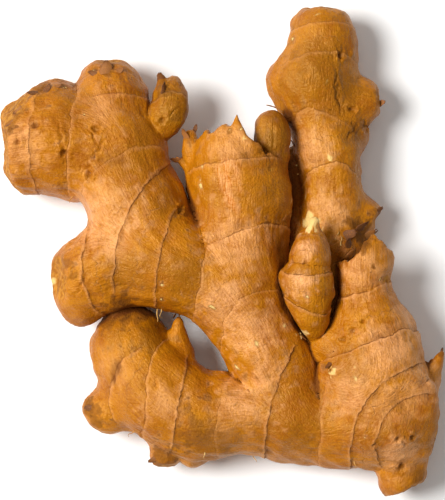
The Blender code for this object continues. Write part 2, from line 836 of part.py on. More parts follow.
def fused_tubes(shoots):
    """All the tubes in one object, fused into one skin by a voxel remesh."""
    points, faces, start = [], [], 0
    for form in shoots:
        tube, tube_of_faces = tube_of(form)
        points.append(tube)
        faces += [tuple(start + k for k in face) for face in tube_of_faces]
        start += len(tube)
    mesh = bpy.data.meshes.new(NAME)
    mesh.from_pydata(np.vstack(points).tolist(), [], faces)
    obj = bpy.data.objects.new(NAME, mesh)
    bpy.context.collection.objects.link(obj)
    remesh = obj.modifiers.new("fuse", "REMESH")
    remesh.mode = "VOXEL"
    remesh.voxel_size = VOXEL
    baked(obj)
    return obj


def in_cup(shoots, points, bare, pair):
    """How far each point is down inside a torn cup, under the tubes' own skin, from 0 to 1."""
    floors = np.array([form["floor"] for form in shoots])
    above_floor = points[:, 1] > floors[pair].min(axis=1) - CUP_MARGIN
    return above_floor * rise(np.abs(bare), *SKIN_DEPTH)


def shaped(shoots, points):
    """Draws the remeshed points onto the filleted skin, then raises the relief from it.

    Returns the points, and how sharp the relief is at each, from 0 to 1.
    """
    _, _, bare, pair, *_ = skin_field(shoots, points)
    free = 1.0 - in_cup(shoots, points, bare, pair)
    for _ in range(PROJECTIONS):
        gap, way, *_ = skin_field(shoots, points)
        points = points - (free * gap)[:, None] * way
    _, way, _, pair, share, own = skin_field(shoots, points)
    raised = free * relief(shoots, points, way, pair, share, own)
    soft = LUMPS * waves(points, LUMP_LENGTH, SEED + 2)
    sharp = np.clip(np.abs(raised - soft) / RING_LIP, 0.0, 1.0)
    return points + raised[:, None] * way, sharp


def grounded(points):
    """The points with the lowest skin pressed flat on the table."""
    height = points[:, 2]
    return np.column_stack([points[:, :2], np.where(height < PRESSED, 0.0, height)])


def plain_group(obj, sharp):
    """A vertex group that is highest where the skin is plain, in a few steps."""
    group = obj.vertex_groups.new(name="plain")
    step = np.round((1.0 - sharp) * PLAIN_STEPS).astype(int)
    for k in range(PLAIN_STEPS + 1):
        group.add(np.flatnonzero(step == k).tolist(), k / PLAIN_STEPS, "REPLACE")
    return group.name


def ginger():
    """Builds the hand: fused, shaped, flattened, thinned, and centred on its box."""
    prepared(SHOOTS)
    obj = fused_tubes(SHOOTS)
    points, sharp = shaped(SHOOTS, mesh_points(obj.data))
    placed(obj.data, grounded(points * (1.0, 1.0, FLATNESS)))
    thin = obj.modifiers.new("thin", "DECIMATE")
    thin.vertex_group = plain_group(obj, sharp)
    thin.vertex_group_factor = KEEP_RELIEF
    obj.data.calc_loop_triangles()
    thin.ratio = TRIANGLES / len(obj.data.loop_triangles)
    mesh = baked(obj)
    points = grounded(mesh_points(mesh))
    middle = (points.min(axis=0) + points.max(axis=0)) / 2
    middle[2] = 0.0
    placed(mesh, (points - middle) * MM)
    mesh.shade_smooth()
    mesh.materials.append(skin())


def skin():
    """The plain colour of the skin."""
    material = bpy.data.materials.new("skin")
    material.use_nodes = True
    shader = material.node_tree.nodes["Principled BSDF"]
    shader.inputs["Base Color"].default_value = SKIN_COLOUR
    shader.inputs["Roughness"].default_value = SKIN_ROUGHNESS
    shader.inputs["Metallic"].default_value = 0.0
    return material


for stray in list(bpy.data.objects):
    bpy.data.objects.remove(stray)
ginger()
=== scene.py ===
"""A hand of fresh ginger, dressed for its picture.

The root is the same grown form as its solid: tubes carried along curved axes and fused into one
skin, with fillets in the creases. Here the skin is finer, and it also has the ragged edges of the
growth rings, the fibres that run along each finger, torn ends, pits, papery scales and rootlets.

Places are in millimetres from the lower left corner of the hand as it lies, x to the right, y
along the fingers and z up from the table.
"""

import json
import math

import bpy
import numpy as np
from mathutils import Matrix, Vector
from mathutils.bvhtree import BVHTree

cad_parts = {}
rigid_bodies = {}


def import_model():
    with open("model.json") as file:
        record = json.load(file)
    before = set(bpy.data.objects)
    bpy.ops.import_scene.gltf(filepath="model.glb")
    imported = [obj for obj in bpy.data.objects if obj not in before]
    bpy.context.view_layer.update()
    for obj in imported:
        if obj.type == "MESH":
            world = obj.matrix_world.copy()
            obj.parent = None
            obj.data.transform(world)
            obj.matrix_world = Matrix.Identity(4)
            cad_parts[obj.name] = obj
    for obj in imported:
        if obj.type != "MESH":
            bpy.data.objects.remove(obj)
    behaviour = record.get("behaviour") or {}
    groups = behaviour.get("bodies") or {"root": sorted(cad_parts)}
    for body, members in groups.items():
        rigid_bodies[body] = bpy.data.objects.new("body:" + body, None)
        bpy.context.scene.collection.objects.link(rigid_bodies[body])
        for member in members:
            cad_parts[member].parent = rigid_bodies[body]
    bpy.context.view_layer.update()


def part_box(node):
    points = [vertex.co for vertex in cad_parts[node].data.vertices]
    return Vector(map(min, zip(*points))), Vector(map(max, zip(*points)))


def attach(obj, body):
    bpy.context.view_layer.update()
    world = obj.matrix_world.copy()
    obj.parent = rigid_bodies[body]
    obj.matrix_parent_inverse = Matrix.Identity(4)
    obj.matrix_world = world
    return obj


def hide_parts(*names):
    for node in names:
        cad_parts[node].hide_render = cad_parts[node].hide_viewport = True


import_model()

MM = 0.001
SEED = 7

# The form of the hand, in millimetres
FLATNESS = 0.88  # how thick a finger is beside its width
AXIS_STEP = 1.0  # spacing of the points along an axis
SIDES = 96  # points round a tube
DOME_ROWS = 10  # rows of points over a rounded end
RIM_ROUNDING = 0.3  # how far the edge of a torn rim turns down
RIM_ROWS = 24  # rows of points up the wall of a torn cup
VOXEL = 0.5  # voxel of the fusing remesh
BESIDE = 9.0  # how far from a shoot its distances are worked out
CHUNK = 6_000_000  # pairs of point and axis place in one step
FAR_AWAY = 1000.0
CUT_ROUNDING = 1.2  # how softly a broken end meets the side of its finger
CUT_DISH = 0.9  # how far the middle of a broken end has sunk
CUT_DISH_WIDTH = 5.0
SKIN_DEPTH = (0.5, 0.9)  # from here to here under the tubes a point is inside a torn cup
CUP_MARGIN = 1.0  # how far under its floor a torn cup is taken to reach
TRIANGLES = 190_000
KEEP_RELIEF = 0.002  # how much the thinning spares rings and scars, in this many steps
KEEP_STEPS = 8
PRESSED = 0.08  # skin lower than this lies flat on the table

# Relief, in millimetres
LUMPS = 0.45
LUMP_LENGTH = 22.0
DENTS = 0.16
DENT_LENGTH = 6.0
FIBRE_RELIEF = 0.05
FIBRE_WIDTH = 1.5
FIBRE_STRETCH = 9.0
RING_PINCH = 0.5  # how far a finger draws in at a ring
RING_REACH = 4.0
RING_LIP = 0.3  # the raised edge that an old leaf scale left
RING_LIP_REACH = 2.2
RING_GROOVE = 0.24  # the step down behind it
RING_GROOVE_REACH = 1.6
RING_EDGE = 0.16  # how sharp the step is
RING_TURN_UP = 0.12  # the upturned edge, this far before the step and this wide
RING_TURN_UP_AT = 0.3
RING_TURN_UP_WIDTH = 0.35
RING_WOBBLE = 0.2
RING_WAVE = 8.0
RING_TEAR = 0.1  # the small teeth of the torn edge, in waves of these two lengths
RING_TEETH = (2.6, 1.1)
RING_BREAKS = 3.0  # the length of the stretches where the edge turns up
RING_FAR = 9.0  # the ring distance where no ring is near
RING_SEEN = 0.25  # a weaker ring draws no line
ARC_FADE = (-3.0, 2.0)  # a ring over a joint fades out from here to here inside its ends
FAINT_RING = 0.07  # a faint ring comes and goes in patches of this length
FAINT_RING_PATCH = 16.0
FAINT_RING_START = (2.0, 6.0)
FAINT_RING_SPACING = (5.0, 10.0)
FAINT_RING_CLEARANCE = 3.0  # from a marked ring
UPPER_FACE = 0.1  # the way out of the skin climbs more than this on the upper face
UNDERSIDE = -0.3  # and less than this on the underside
SCAR_LIP = 0.45  # heights of a scar, and widths beside its radius
SCAR_LIP_WIDTH = 0.45
SCAR_DEPTH = 1.1
SCAR_WIDTH = 0.65
SCAR_SHADE_WIDTH = 0.9
ROOT_SCARS = 50
ROOT_SCAR_SIZE = (0.9, 1.9)
SLIT_LIP = 0.25
SLIT_DEPTH = 0.55
SLIT_SHADE = 0.8
SLIT_WANDER = 0.35  # how far a slit bends aside, and at what length
SLIT_BEND = 3.2
RIM_TEETH = 0.8
RIM_WAVES = (9, 14, 23, 31, 47)  # waves of the teeth round a torn rim, and their largest sum
RIM_WAVES_SUM = 2.2
TORN_RELIEF = 0.25  # how uneven the flesh in a torn cup is, and at what length
TORN_LENGTH = 2.2


def shoot(name, parent, blend, path, rings=(), cuts=(), rim=None, cup=(0.0, 0.0)):
    """One finger, knob or bud.

    path holds (x, y, z, radius) down the axis from the root to the tip. blend is the width of the
    fillet with the parent. A ring is three (x, y) places on the upper face that its line passes
    through, and its step, which goes down towards the tip where it is above 0. A cut is a plane
    that ends the shoot, as ((x, y, z), (normal)). A rim is the ragged edge of a torn end, as
    (degrees round the axis, y), and cup is its wall and its depth.
    """
    form = {"name": name, "parent": parent, "blend": blend, "path": path}
    return form | {"rings": rings, "cuts": cuts, "rim": rim, "cup": cup}


SHOOTS = [
    shoot("base", None, 0,
          [(133.3, 30.5, 16.6, 14.6), (128.3, 29, 16.8, 15.8), (118.3, 26.8, 15.6, 14.9),
           (108.3, 26, 13.2, 13.9), (100, 26.8, 11.3, 13.6), (89, 28.4, 13.5, 13.7),
           (81.7, 30, 14, 12.4), (74, 29.3, 14.5, 12.7)],
          rings=[((73.3, 16.7), (71.3, 27.3), (73.7, 36.7), 0.8)],
          cuts=[((143, 34, 15), (0.995, -0.1, 0))]),
    shoot("heel", "base", 6,
          [(118.5, 39.5, 17.2, 14.4), (124, 35.5, 17.4, 15.8), (130, 31, 17.2, 15.2),
           (134.8, 24.5, 15, 11.8), (134.7, 15.5, 13, 8.7), (134.3, 7, 12.5, 8.4)],
          cuts=[((144.2, 34, 15), (0.995, -0.1, 0)), ((134.3, 3.9, 12), (0.42, -0.905, 0.05))]),
    shoot("heel_spike", "heel", 3,
          [(137, 33, 16, 7.8), (141.6, 40.5, 16.5, 5.2), (144.6, 46, 17, 2.9), (146.7, 50, 17, 1.1)]),
    shoot("left", "base", 6,
          [(76, 29.3, 14.5, 12.7), (63.3, 29.7, 15, 15.2), (53.6, 35.9, 15.5, 15.7),
           (46.2, 44.2, 14.7, 14.4), (43.5, 51.7, 12.8, 13.1), (43.2, 55.5, 11.8, 10.9)],
          rings=[((57.3, 15), (58, 26.7), (61, 41.7), -0.9), ((46.7, 23.3), (48.7, 35), (54, 50), 0.7)]),
    shoot("left_knob", "left", 3.5,
          [(41.5, 35, 13.5, 8.4), (35, 30.6, 12.5, 7.6), (33.2, 30.8, 12.5, 5.8)]),
    shoot("left_stub", "left", 3,
          [(55.3, 23, 13, 6.2), (55, 16.5, 12, 5.4)],
          cuts=[((55, 11.3, 12), (0.05, -0.95, 0.3))]),
    shoot("left_lump", "left", 3, [(64, 21, 13, 6), (64, 16.7, 12, 5.2)]),
    shoot("left_bud", "left", 3, [(60.3, 49, 15, 4.5), (58.7, 55.7, 16.5, 3.2), (59.2, 61.3, 18, 1.1)]),
    shoot("middle", "base", 5,
          [(97.5, 29.3, 14, 13.6), (92, 44, 15.2, 13.6), (85.5, 56.7, 16.2, 14.1),
           (80.3, 69.3, 16.5, 15), (79.7, 83.3, 16.5, 15.7), (79.7, 95, 16.5, 16.3),
           (79.7, 106.7, 16.5, 16.8), (79.3, 114, 16.5, 16.3), (79.3, 121, 16.5, 15),
           (79.3, 128, 16.5, 13)],
          rings=[((68.3, 112.3), (80, 114), (91.7, 114.7), 0.6),
                 ((67.7, 83), (77.3, 89.7), (95, 92.7), 0.9),
                 ((74, 56.7), (80, 66.7), (91.7, 71.3), 0.9)],
          rim=[(0, 114.5), (35, 115), (58, 116.7), (70, 119.7), (80, 122), (86, 125), (93, 127.7),
               (98, 126), (114, 125), (125, 122.7), (141, 123.3), (165, 120), (200, 117.5),
               (235, 120.5), (270, 118), (310, 117)],
          cup=(2, 4.5)),
    shoot("middle_bud_right", "middle", 1.5,
          [(90, 111, 18.5, 5.3), (90.3, 120.5, 19.5, 6.2), (90.4, 124.8, 19, 6)]),
    shoot("middle_bud_left", "middle", 1.5,
          [(66.7, 111.7, 17, 4), (63.5, 117.7, 18, 3.4), (63.2, 122.2, 18, 2)]),
    shoot("middle_scale", "middle", 2,
          [(66.5, 109, 17, 3), (61.5, 113, 17, 1.7), (58.9, 114.3, 17, 1)]),
    shoot("arm", "middle", 8,
          [(80, 70, 17, 14), (70, 75, 18, 14.6), (60, 78.7, 18.5, 15), (50, 80.7, 18.5, 14.7),
           (40, 79.3, 18, 13.8), (32.7, 77, 17.5, 14.4), (27.3, 75.3, 17, 12)],
          rings=[((67.7, 83.3), (65.3, 73.3), (64, 61.7), 0.8),
                 ((29.3, 88.3), (29.3, 76.7), (32.7, 65.7), -0.9)],
          cuts=[((17.8, 75, 17), (-0.9, -0.1, 0.42))]),
    shoot("arm_lobe", "arm", 3.5, [(31, 72, 16, 8), (26.8, 66.3, 15.5, 7.7)]),
    shoot("arm_lump", "arm", 2.5, [(56, 95.5, 18, 5.5), (59.5, 97.8, 18.5, 3.6)]),
    shoot("crown", "arm", 8,
          [(55, 81.7, 18, 15.3), (48.7, 91.7, 18, 16.3), (43, 103.3, 17, 16.2), (40, 115, 16, 16),
           (37.3, 126, 15, 13.7), (36.7, 133.3, 14.5, 12.7), (36, 137.8, 14, 11)],
          rings=[((30.7, 106.7), (39.3, 114.3), (53.3, 117.3), 0.6),
                 ((26, 132.3), (36.7, 134.7), (48.7, 134.7), 0.45),
                 ((26.7, 141), (36, 143.7), (45.7, 140.3), 0.45)],
          cuts=[((36, 148.2, 14), (0, 0.98, 0.2))]),
    shoot("crown_knob", "crown", 5,
          [(36.7, 116, 15.5, 14.7), (26, 119.3, 15, 17.3), (16.7, 121, 15, 18), (9, 119.8, 15, 17)],
          rings=[((24.3, 129.3), (22.7, 116.7), (23.3, 101.3), 0.7),
                 ((11, 131.7), (10.3, 116.7), (12.7, 102.7), -0.6)],
          cuts=[((1.5, 118, 15), (-0.98, -0.05, 0.12)), ((7, 135.4, 15), (-0.7, 0.63, 0.33)),
                ((4, 107, 15), (-0.8, -0.6, 0))]),
    shoot("crown_knob_top", "crown_knob", 4,
          [(21, 122, 15, 13), (18.4, 130, 14.5, 11.4)],
          cuts=[((9, 138.4, 15), (-0.52, 0.8, 0.3))]),
    shoot("crown_knob_heel", "crown_knob", 4, [(31, 110, 15, 9), (25, 107, 14, 6.6)]),
    shoot("crown_bud", "crown", 0.9,
          [(50, 122.5, 15, 4), (54.2, 127.2, 18, 5.8), (56.2, 131, 18.5, 6.2), (57, 135.5, 18, 5.2),
           (57.6, 139.5, 17.5, 2.6)],
          rings=[((51.5, 133.5), (56, 136), (61, 134.5), 0.6)]),
    shoot("crown_bud_scale", "crown_bud", 1.2, [(54, 136, 17, 3), (53.6, 141, 17.6, 1.3)]),
    shoot("right", "heel", 6,
          [(124.5, 28.5, 17, 14), (125.3, 38.3, 17.4, 16.2), (125.1, 49, 18, 16),
           (122.5, 60, 18.8, 12.4), (121.3, 68.3, 19.5, 9.8), (120.8, 76.7, 20, 9.2),
           (120.9, 83.3, 20.5, 8.7), (121.3, 91, 21, 7)],
          rings=[((112.3, 69), (119, 71), (130.3, 74), 0.8), ((112, 48.7), (120.7, 54), (136, 59), 1)],
          rim=[(0, 81), (20, 84.5), (36, 86.5), (55, 88.3), (72, 90.3), (86, 88), (99, 86),
               (108, 83.3), (123, 80.7), (150, 80.3), (180, 79.5), (230, 81), (270, 79.5), (320, 82)],
          cup=(1.7, 5)),
    shoot("right_lobe", "right", 4, [(122, 50, 17.5, 11), (110.8, 52.8, 17, 8.4)]),
    shoot("far", "base", 4,
          [(108, 39, 10.5, 10), (107.3, 55, 9.5, 9.3), (109.3, 70, 9.5, 9.3), (112.3, 84, 10.2, 9.7),
           (112, 91.7, 11.2, 11), (110.7, 100, 12, 10.3), (110, 108.3, 12.5, 10),
           (109.7, 116.7, 12.5, 11), (107, 127.3, 12, 11.3), (105, 136.7, 11.3, 13.6),
           (105.7, 145, 11.8, 13), (107.2, 152.7, 11.5, 11.4), (107.2, 155.7, 11.5, 10.6)],
          rings=[((98, 158), (106, 160), (116.7, 158.7), 0.5),
                 ((95, 146.7), (103.3, 149.7), (117.3, 147.3), 0.45),
                 ((97.7, 127.3), (105, 130.3), (116.7, 124.3), 0.6),
                 ((100.7, 108.7), (108.3, 113), (119.3, 108), 0.6)],
          cuts=[((107.3, 164.8, 11.5), (0, 1, 0.1))]),
    shoot("far_shoulder", "far", 5, [(102.5, 138.3, 12, 8), (96.7, 141.5, 11, 7.7)]),
    shoot("far_knob", "far", 5,
          [(112, 129, 12, 9), (120.2, 134, 12, 7.2)],
          cuts=[((126.9, 134, 12), (0.95, 0.12, 0.28))]),
    shoot("far_skirt", "far", 4, [(113, 126, 12, 7), (117.3, 122.6, 12, 5.2)]),
    shoot("far_foot", "far", 3,
          [(114, 97, 11, 7), (122.2, 95.6, 12, 5)],
          cuts=[((126.6, 95, 12), (0.9, -0.35, 0.3))]),
    shoot("far_bud", "far", 1.2,
          [(111.5, 80, 13, 5), (112.8, 84.5, 16, 5.4), (114.2, 88, 16.5, 4.6)],
          rings=[((108.5, 84.5), (112, 88), (117, 88.5), 0.7),
                 ((109, 80.5), (113, 83.5), (118, 84), 0.7)]),
    shoot("far_root", "far", 5,
          [(100.5, 58, 8, 7.5), (99.8, 78, 7, 7), (98.6, 96, 6.6, 6.2), (98, 108, 6.6, 5.2),
           (97.6, 114, 6.8, 4)]),
    shoot("front", "base", 3,
          [(106.5, 50.5, 13, 4), (104.6, 57.8, 21, 3.5), (103.6, 62.3, 24, 5.2),
           (102.6, 67.5, 25.5, 7.4), (101.9, 73.6, 26, 8.8), (102.8, 78.2, 26, 6.7),
           (102.9, 82.5, 26.4, 7.2), (102.7, 85.6, 26.4, 6.7)],
          rings=[((95.8, 78.2), (102.5, 76.6), (110, 78), 0.9),
                 ((95.7, 67.5), (101.7, 65.2), (109.3, 64.8), 0.8),
                 ((97, 88.7), (103, 91), (108, 88.7), 0.4)]),
    shoot("front_lobe", "front", 2, [(99.5, 74, 26, 5.5), (95.6, 74.8, 25, 3.6)]),
    shoot("front_tip", "front", 1.5, [(103.5, 90, 27, 3), (104, 93.3, 28, 1.9)]),
    shoot("under_bud_middle", "middle", 2.5, [(76, 96, 6, 4), (72.5, 101, 4.6, 3.6)]),
    shoot("under_bud_arm", "arm", 2.5, [(50, 80, 8, 4.5), (47, 75.5, 6.2, 4.2)]),
    shoot("under_knob_right", "right", 3, [(128, 46, 6, 6), (131, 52, 6, 4.6)]),
]


# Rings that run on over a joint, where no one axis carries them, as three (x, y) places and the
# step, which goes down away from the middle of their circle where it is above 0
ARCS = [
    ((53.3, 110.5), (42.5, 95.5), (38.5, 70), -0.9), ((58.5, 97), (53.2, 81), (52.3, 64.5), -0.8),
    ((38, 26.5), (37.2, 41), (45.5, 51.5), 0.6), ((96, 48.5), (90.2, 33.5), (88.3, 13.5), -0.9),
    ((107.6, 40.5), (106.2, 26), (105.5, 12), 0.45), ((116.3, 12.5), (120.6, 33), (140, 46.7), -0.9),
    ((126.2, 12.5), (127.6, 29.5), (142.5, 36.8), -0.8),
]

# Pits and eyes on the upper face, as (x, y, radius)
SCARS = [
    (12.3, 125.3, 2.1), (6.4, 119.7, 1.3), (32.3, 123.7, 1.7), (22, 116, 1.5), (29.7, 108.7, 1.3),
    (54, 127, 1.4), (116.7, 57.7, 1.4), (113.7, 54.7, 1.2), (120, 60.7, 1), (133, 12.3, 1.8),
    (131.3, 22.3, 1.2), (123.7, 20, 1), (136.3, 22.3, 1.2), (113.4, 148.8, 1.5), (117, 131, 1.4),
    (60, 97.6, 1.5),
]
HAND_SIZE = (147.0, 164.0)  # where the underside's scars are drawn


# Narrow cracks in the skin, as (x, y, half length, half width, degrees from the x axis)
SLITS = [
    (6.5, 119.5, 2.4, 0.5, 95), (30, 110, 3.2, 0.5, 96), (24.5, 77, 2.6, 0.6, 80),
    (27.5, 72.5, 3.6, 0.45, 62), (21.8, 73, 3, 0.4, 100), (54.8, 134.5, 3.6, 0.4, 80),
    (57.6, 130, 2.6, 0.35, 40), (90.6, 121.5, 4.5, 0.4, 88), (88, 116, 2.6, 0.4, 150),
    (113.2, 148.8, 3, 0.55, 100), (112.3, 136.5, 8, 0.5, 98), (117, 123.5, 3.2, 0.5, 60),
    (121.5, 124.8, 3, 0.5, 110), (33, 117, 4.5, 0.5, 60), (31.5, 121, 3.5, 0.45, 120),
    (21, 119, 6.5, 0.55, 96), (60, 98, 2.2, 0.6, 50), (52, 40, 1.6, 0.4, 100), (97.3, 117, 3, 0.5, 92),
    (133.5, 21, 1.4, 0.4, 120),
]

# Brown weathered skin, with a painted shadow under the arm among them, as (x, y, radius, strength)
STAINS_AND_SHADOWS = [
    (35.6, 144.6, 2.4, 1.5), (54.6, 136, 1.9, 1.1), (118.8, 92, 3, 2), (121, 86.5, 2.2, 2),
    (14.6, 137.6, 1.8, 1.6), (3.6, 128, 1.8, 1.4), (31, 143.5, 2.4, 0.5), (13.5, 139, 4, 1),
    (6, 133, 3.4, 0.9), (20, 140.5, 2.2, 0.8), (3, 125, 2.2, 0.7), (23, 119.5, 2.4, 0.4),
    (24, 111, 2, 0.4), (53.3, 140, 2.4, 1), (60.5, 139.5, 1.4, 0.7), (62.5, 121.5, 2.2, 0.8),
    (59.5, 113.8, 1.6, 0.8), (92.5, 130.5, 1.6, 0.8), (124.5, 96.5, 2.4, 0.6), (126, 134, 2, 0.7),
    (22, 80, 2.6, 0.9), (24.5, 75.5, 2, 0.8), (22.5, 72, 2.4, 0.5), (18.5, 70, 1.6, 0.5),
    (59.5, 61.5, 1.6, 0.7), (29.6, 32, 2.8, 1.5), (31.5, 27, 2.2, 0.9), (36, 25, 1.8, 0.5),
    # the second and third spots on the next line paint the arm's shadow on the left finger's top, with a
    # dark stain
    (54, 15, 4, 1.1), (41, 63.5, 4.5, 1.7), (46, 62, 3, 1.4), (35.6, 59, 2.2, 0.9), (60, 15.5, 2, 0.4),
    (64.5, 23.5, 5.5, 0.75), (62.5, 31, 3, 0.7), (68.5, 36, 2.2, 0.9), (146.2, 49.8, 1.4, 1.2),
    (61.8, 97, 1.6, 1.2), (20.5, 105, 3, 0.6), (142.5, 20, 3, 0.6), (127, 8, 1.8, 0.5),
    (139, 9, 3.4, 0.8), (128.5, 4.5, 2, 0.8), (133.1, 12.3, 1, 2.2), (2.8, 124, 2, 1.5),
    (5.4, 131, 2.4, 1.4), (58.6, 128.5, 1.6, 0.8), (109, 45.5, 1.8, 0.8), (96, 59, 1.6, 0.5),
    (60, 97.5, 1.8, 0.5), (118, 124.5, 3.4, 0.75), (126.5, 136.5, 2, 1), (98, 131, 2, 0.7),
    (113.5, 120, 2.4, 0.4), (51.5, 25, 2, 0.3),
]

# Papery scale flakes, as (x, y, degrees that the tip points to, length, width, lift in degrees)
FLAKES = [
    (53.4, 141, 100, 2, 2.6, 35), (54.6, 136.5, 95, 3.4, 2.4, 12), (35.6, 143, 92, 4.2, 4.6, 6),
    (32, 142.8, 165, 3, 2.2, 6), (39, 143.4, 20, 2.6, 2, 6), (15.2, 136.6, 70, 3.2, 2.6, 6),
    (12.4, 136.2, 200, 3.4, 2.2, 6), (7.2, 131, 215, 3.4, 2.2, 6), (4.6, 127, 250, 3, 2, 6),
    (18.4, 138.4, 10, 2.6, 1.8, 8), (59.2, 113.8, 160, 2.4, 2, 30), (61.8, 121.3, 100, 2.6, 2.2, 45),
    (66, 124.6, 70, 2.2, 1.6, 45), (91.7, 131.6, 110, 2.6, 2, 40), (114.5, 88.5, 30, 4.2, 3.6, 26),
    (119, 90.5, 80, 4, 3.4, 34), (121.5, 88.5, 40, 3.6, 3, 38), (116, 85, 120, 3.6, 3, 22),
    (125.6, 97, 30, 2.2, 2, 24), (126.6, 133, 10, 2.2, 2.2, 24), (109.3, 47, 250, 2.4, 1.6, 25),
    (100.3, 56, 240, 2.4, 1.8, 30), (146.2, 50.6, 60, 2, 1.4, 20), (58.8, 62, 110, 2.2, 1.6, 40),
    (30.2, 31.5, 170, 2.4, 2.4, 20), (51.5, 14.5, 200, 2.4, 2, 20), (98, 118.5, 85, 3, 1.6, 24),
]

# Rootlets and hairs, as (x, y, degrees that it runs to, length, radius)
ROOTLETS = [
    (52.2, 64.5, 255, 5.5, 0.22), (53.6, 64.5, 285, 3.2, 0.16), (98.6, 112.5, 10, 3.4, 0.3),
    (99, 109.5, 20, 3, 0.22), (109.8, 45.6, 250, 2.6, 0.24), (99.6, 56.5, 250, 3, 0.26),
    (111.3, 88, 70, 4, 0.28), (113, 86, 95, 3.4, 0.22), (84, 15.5, 300, 2.6, 0.18),
    (44.5, 24, 230, 2.8, 0.18), (24, 102, 250, 2.6, 0.18), (117.5, 14, 280, 2.4, 0.18),
    (68, 17, 260, 2.2, 0.16),
]


def axis_of(path):
    """The axis as a smooth curve through the path's points, by cubic Hermite spans over chord length.

    Returns places, radii, tangents and lengths at even steps. Heights are stretched by the
    flatness, so that every section is round while the hand is being shaped.
    """
    knots = np.array(path, float)
    knots[:, 2] /= FLATNESS
    spans = np.linalg.norm(np.diff(knots[:, :3], axis=0), axis=1)
    slopes = np.diff(knots, axis=0) / spans[:, None]
    inner = (slopes[:-1] * spans[1:, None] + slopes[1:] * spans[:-1, None]) / (
        spans[:-1] + spans[1:]
    )[:, None]
    tangents = np.vstack([slopes[:1], inner, slopes[-1:]])
    ends = np.concatenate([[0.0], np.cumsum(spans)])
    lengths = np.linspace(0.0, ends[-1], max(4, round(ends[-1] / AXIS_STEP) + 1))
    span = np.clip(np.searchsorted(ends, lengths, side="right") - 1, 0, len(spans) - 1)
    width = spans[span][:, None]
    t = (lengths[:, None] - ends[span][:, None]) / width
    curve = (
        (2 * t**3 - 3 * t**2 + 1) * knots[span]
        + (t**3 - 2 * t**2 + t) * width * tangents[span]
        + (3 * t**2 - 2 * t**3) * knots[span + 1]
        + (t**3 - t**2) * width * tangents[span + 1]
    )
    forward = np.gradient(curve[:, :3], axis=0)
    forward /= np.linalg.norm(forward, axis=1)[:, None]
    return curve[:, :3], curve[:, 3], forward, lengths


def across_of(forward):
    """Two unit vectors across each tangent: one level and to its right, one upwards."""
    level = np.cross(forward, (0.0, 0.0, 1.0))
    level /= np.linalg.norm(level, axis=-1, keepdims=True)
    return level, np.cross(level, forward)


def waves(points, length, seed, count=14):
    """Smooth noise of about unit size: a sum of sine waves of one length in random directions."""
    rng = np.random.default_rng(seed)
    heading = rng.normal(size=(count, 3))
    heading *= 2 * math.pi / length / np.linalg.norm(heading, axis=1)[:, None]
    heading *= rng.uniform(0.75, 1.3, size=(count, 1))
    phase = rng.uniform(0, 2 * math.pi, count)
    return np.sin(points @ heading.T + phase).sum(axis=1) / math.sqrt(count / 2)


def bell(distance, width):
    return np.exp(-((distance / width) ** 2))


def rise(value, low, high):
    """0 below low, 1 above high, and smooth between."""
    t = np.clip((value - low) / (high - low), 0.0, 1.0)
    return t * t * (3 - 2 * t)


def rim_at(form, degrees):
    """The place of a torn end's ragged edge along y, by degrees round the axis, with small teeth."""
    angles, edge = np.array(form["rim"], float).T
    teeth = sum(math.sin(k) * np.sin(np.radians(degrees) * k + 2.1 * k) for k in RIM_WAVES)
    return np.interp(degrees % 360, angles, edge, period=360) + RIM_TEETH * teeth / RIM_WAVES_SUM


def tube_of(form):
    """The closed tube of one shoot, as rows of points round its axis, with a point at each end.

    A row is centre + radius * (cos * level + sin * up). An end is a dome. Where the shoot has a
    rim, the wall runs on up to the rim instead, turns over it and comes down inside to the floor
    of a shallow cup.
    """
    centres, radii, forward, _ = form["axis"]
    turn = np.linspace(0.0, 2 * math.pi, SIDES, endpoint=False)
    around = np.stack([np.cos(turn), np.sin(turn)], -1)
    bow = np.linspace(0.0, math.pi / 2, DOME_ROWS, endpoint=False)[1:, None]

    def rows(centre, radius, heading):
        """Rows round centres that have a radius and a heading each."""
        basis = np.stack(across_of(heading), -2)
        return centre[:, None] + radius[:, None, None] * (around @ basis)

    def dome(end, side, angles):
        """Rows over the rounded end, which is on this side of its last centre."""
        centre = centres[end] + side * radii[end] * np.sin(angles) * forward[end]
        heading = np.repeat(forward[end][None], len(angles), axis=0)
        return rows(centre, radii[end] * np.cos(angles)[:, 0], heading)

    def level_rows(y, inset):
        """Rows at heights y of the hand, which change round the axis, this far inside the wall."""
        middle = np.stack([np.interp(y, centres[:, 1], centres[:, k]) for k in range(3)], -1)
        radius = np.interp(y, centres[:, 1], radii) - inset
        return middle + radius[..., None] * (around @ np.stack(across_of(forward[-1])))

    first = centres[0] - radii[0] * forward[0]
    if form["rim"] is None:
        last = centres[-1] + radii[-1] * forward[-1]
        parts = [dome(0, -1, bow[::-1]), rows(centres, radii, forward), dome(-1, 1, bow)]
    else:
        rim = rim_at(form, np.degrees(turn))
        wall = form["cup"][0]
        floor = form["floor"]
        below = centres[:, 1] < floor
        steps = np.linspace(0.0, 1.0, RIM_ROWS)[:, None]
        turned = np.array([[0.5], [1.0]])
        parts = [
            dome(0, -1, bow[::-1]),
            rows(centres[below], radii[below], forward[below]),
            level_rows(floor + (rim - floor) * steps, 0.0),
            level_rows(rim - RIM_ROUNDING * turned, wall * turned),
            level_rows(floor + (rim - floor) * steps[-2:3:-1], wall),
        ]
        last = parts[-1][-1].mean(axis=0)
    rings = np.concatenate(parts)
    points = np.vstack([first, rings.reshape(-1, 3), last])
    for place, normal in form["planes"]:
        points -= np.outer(np.maximum((points - place) @ normal, 0.0), normal)
    return points, tube_faces(len(rings), SIDES)


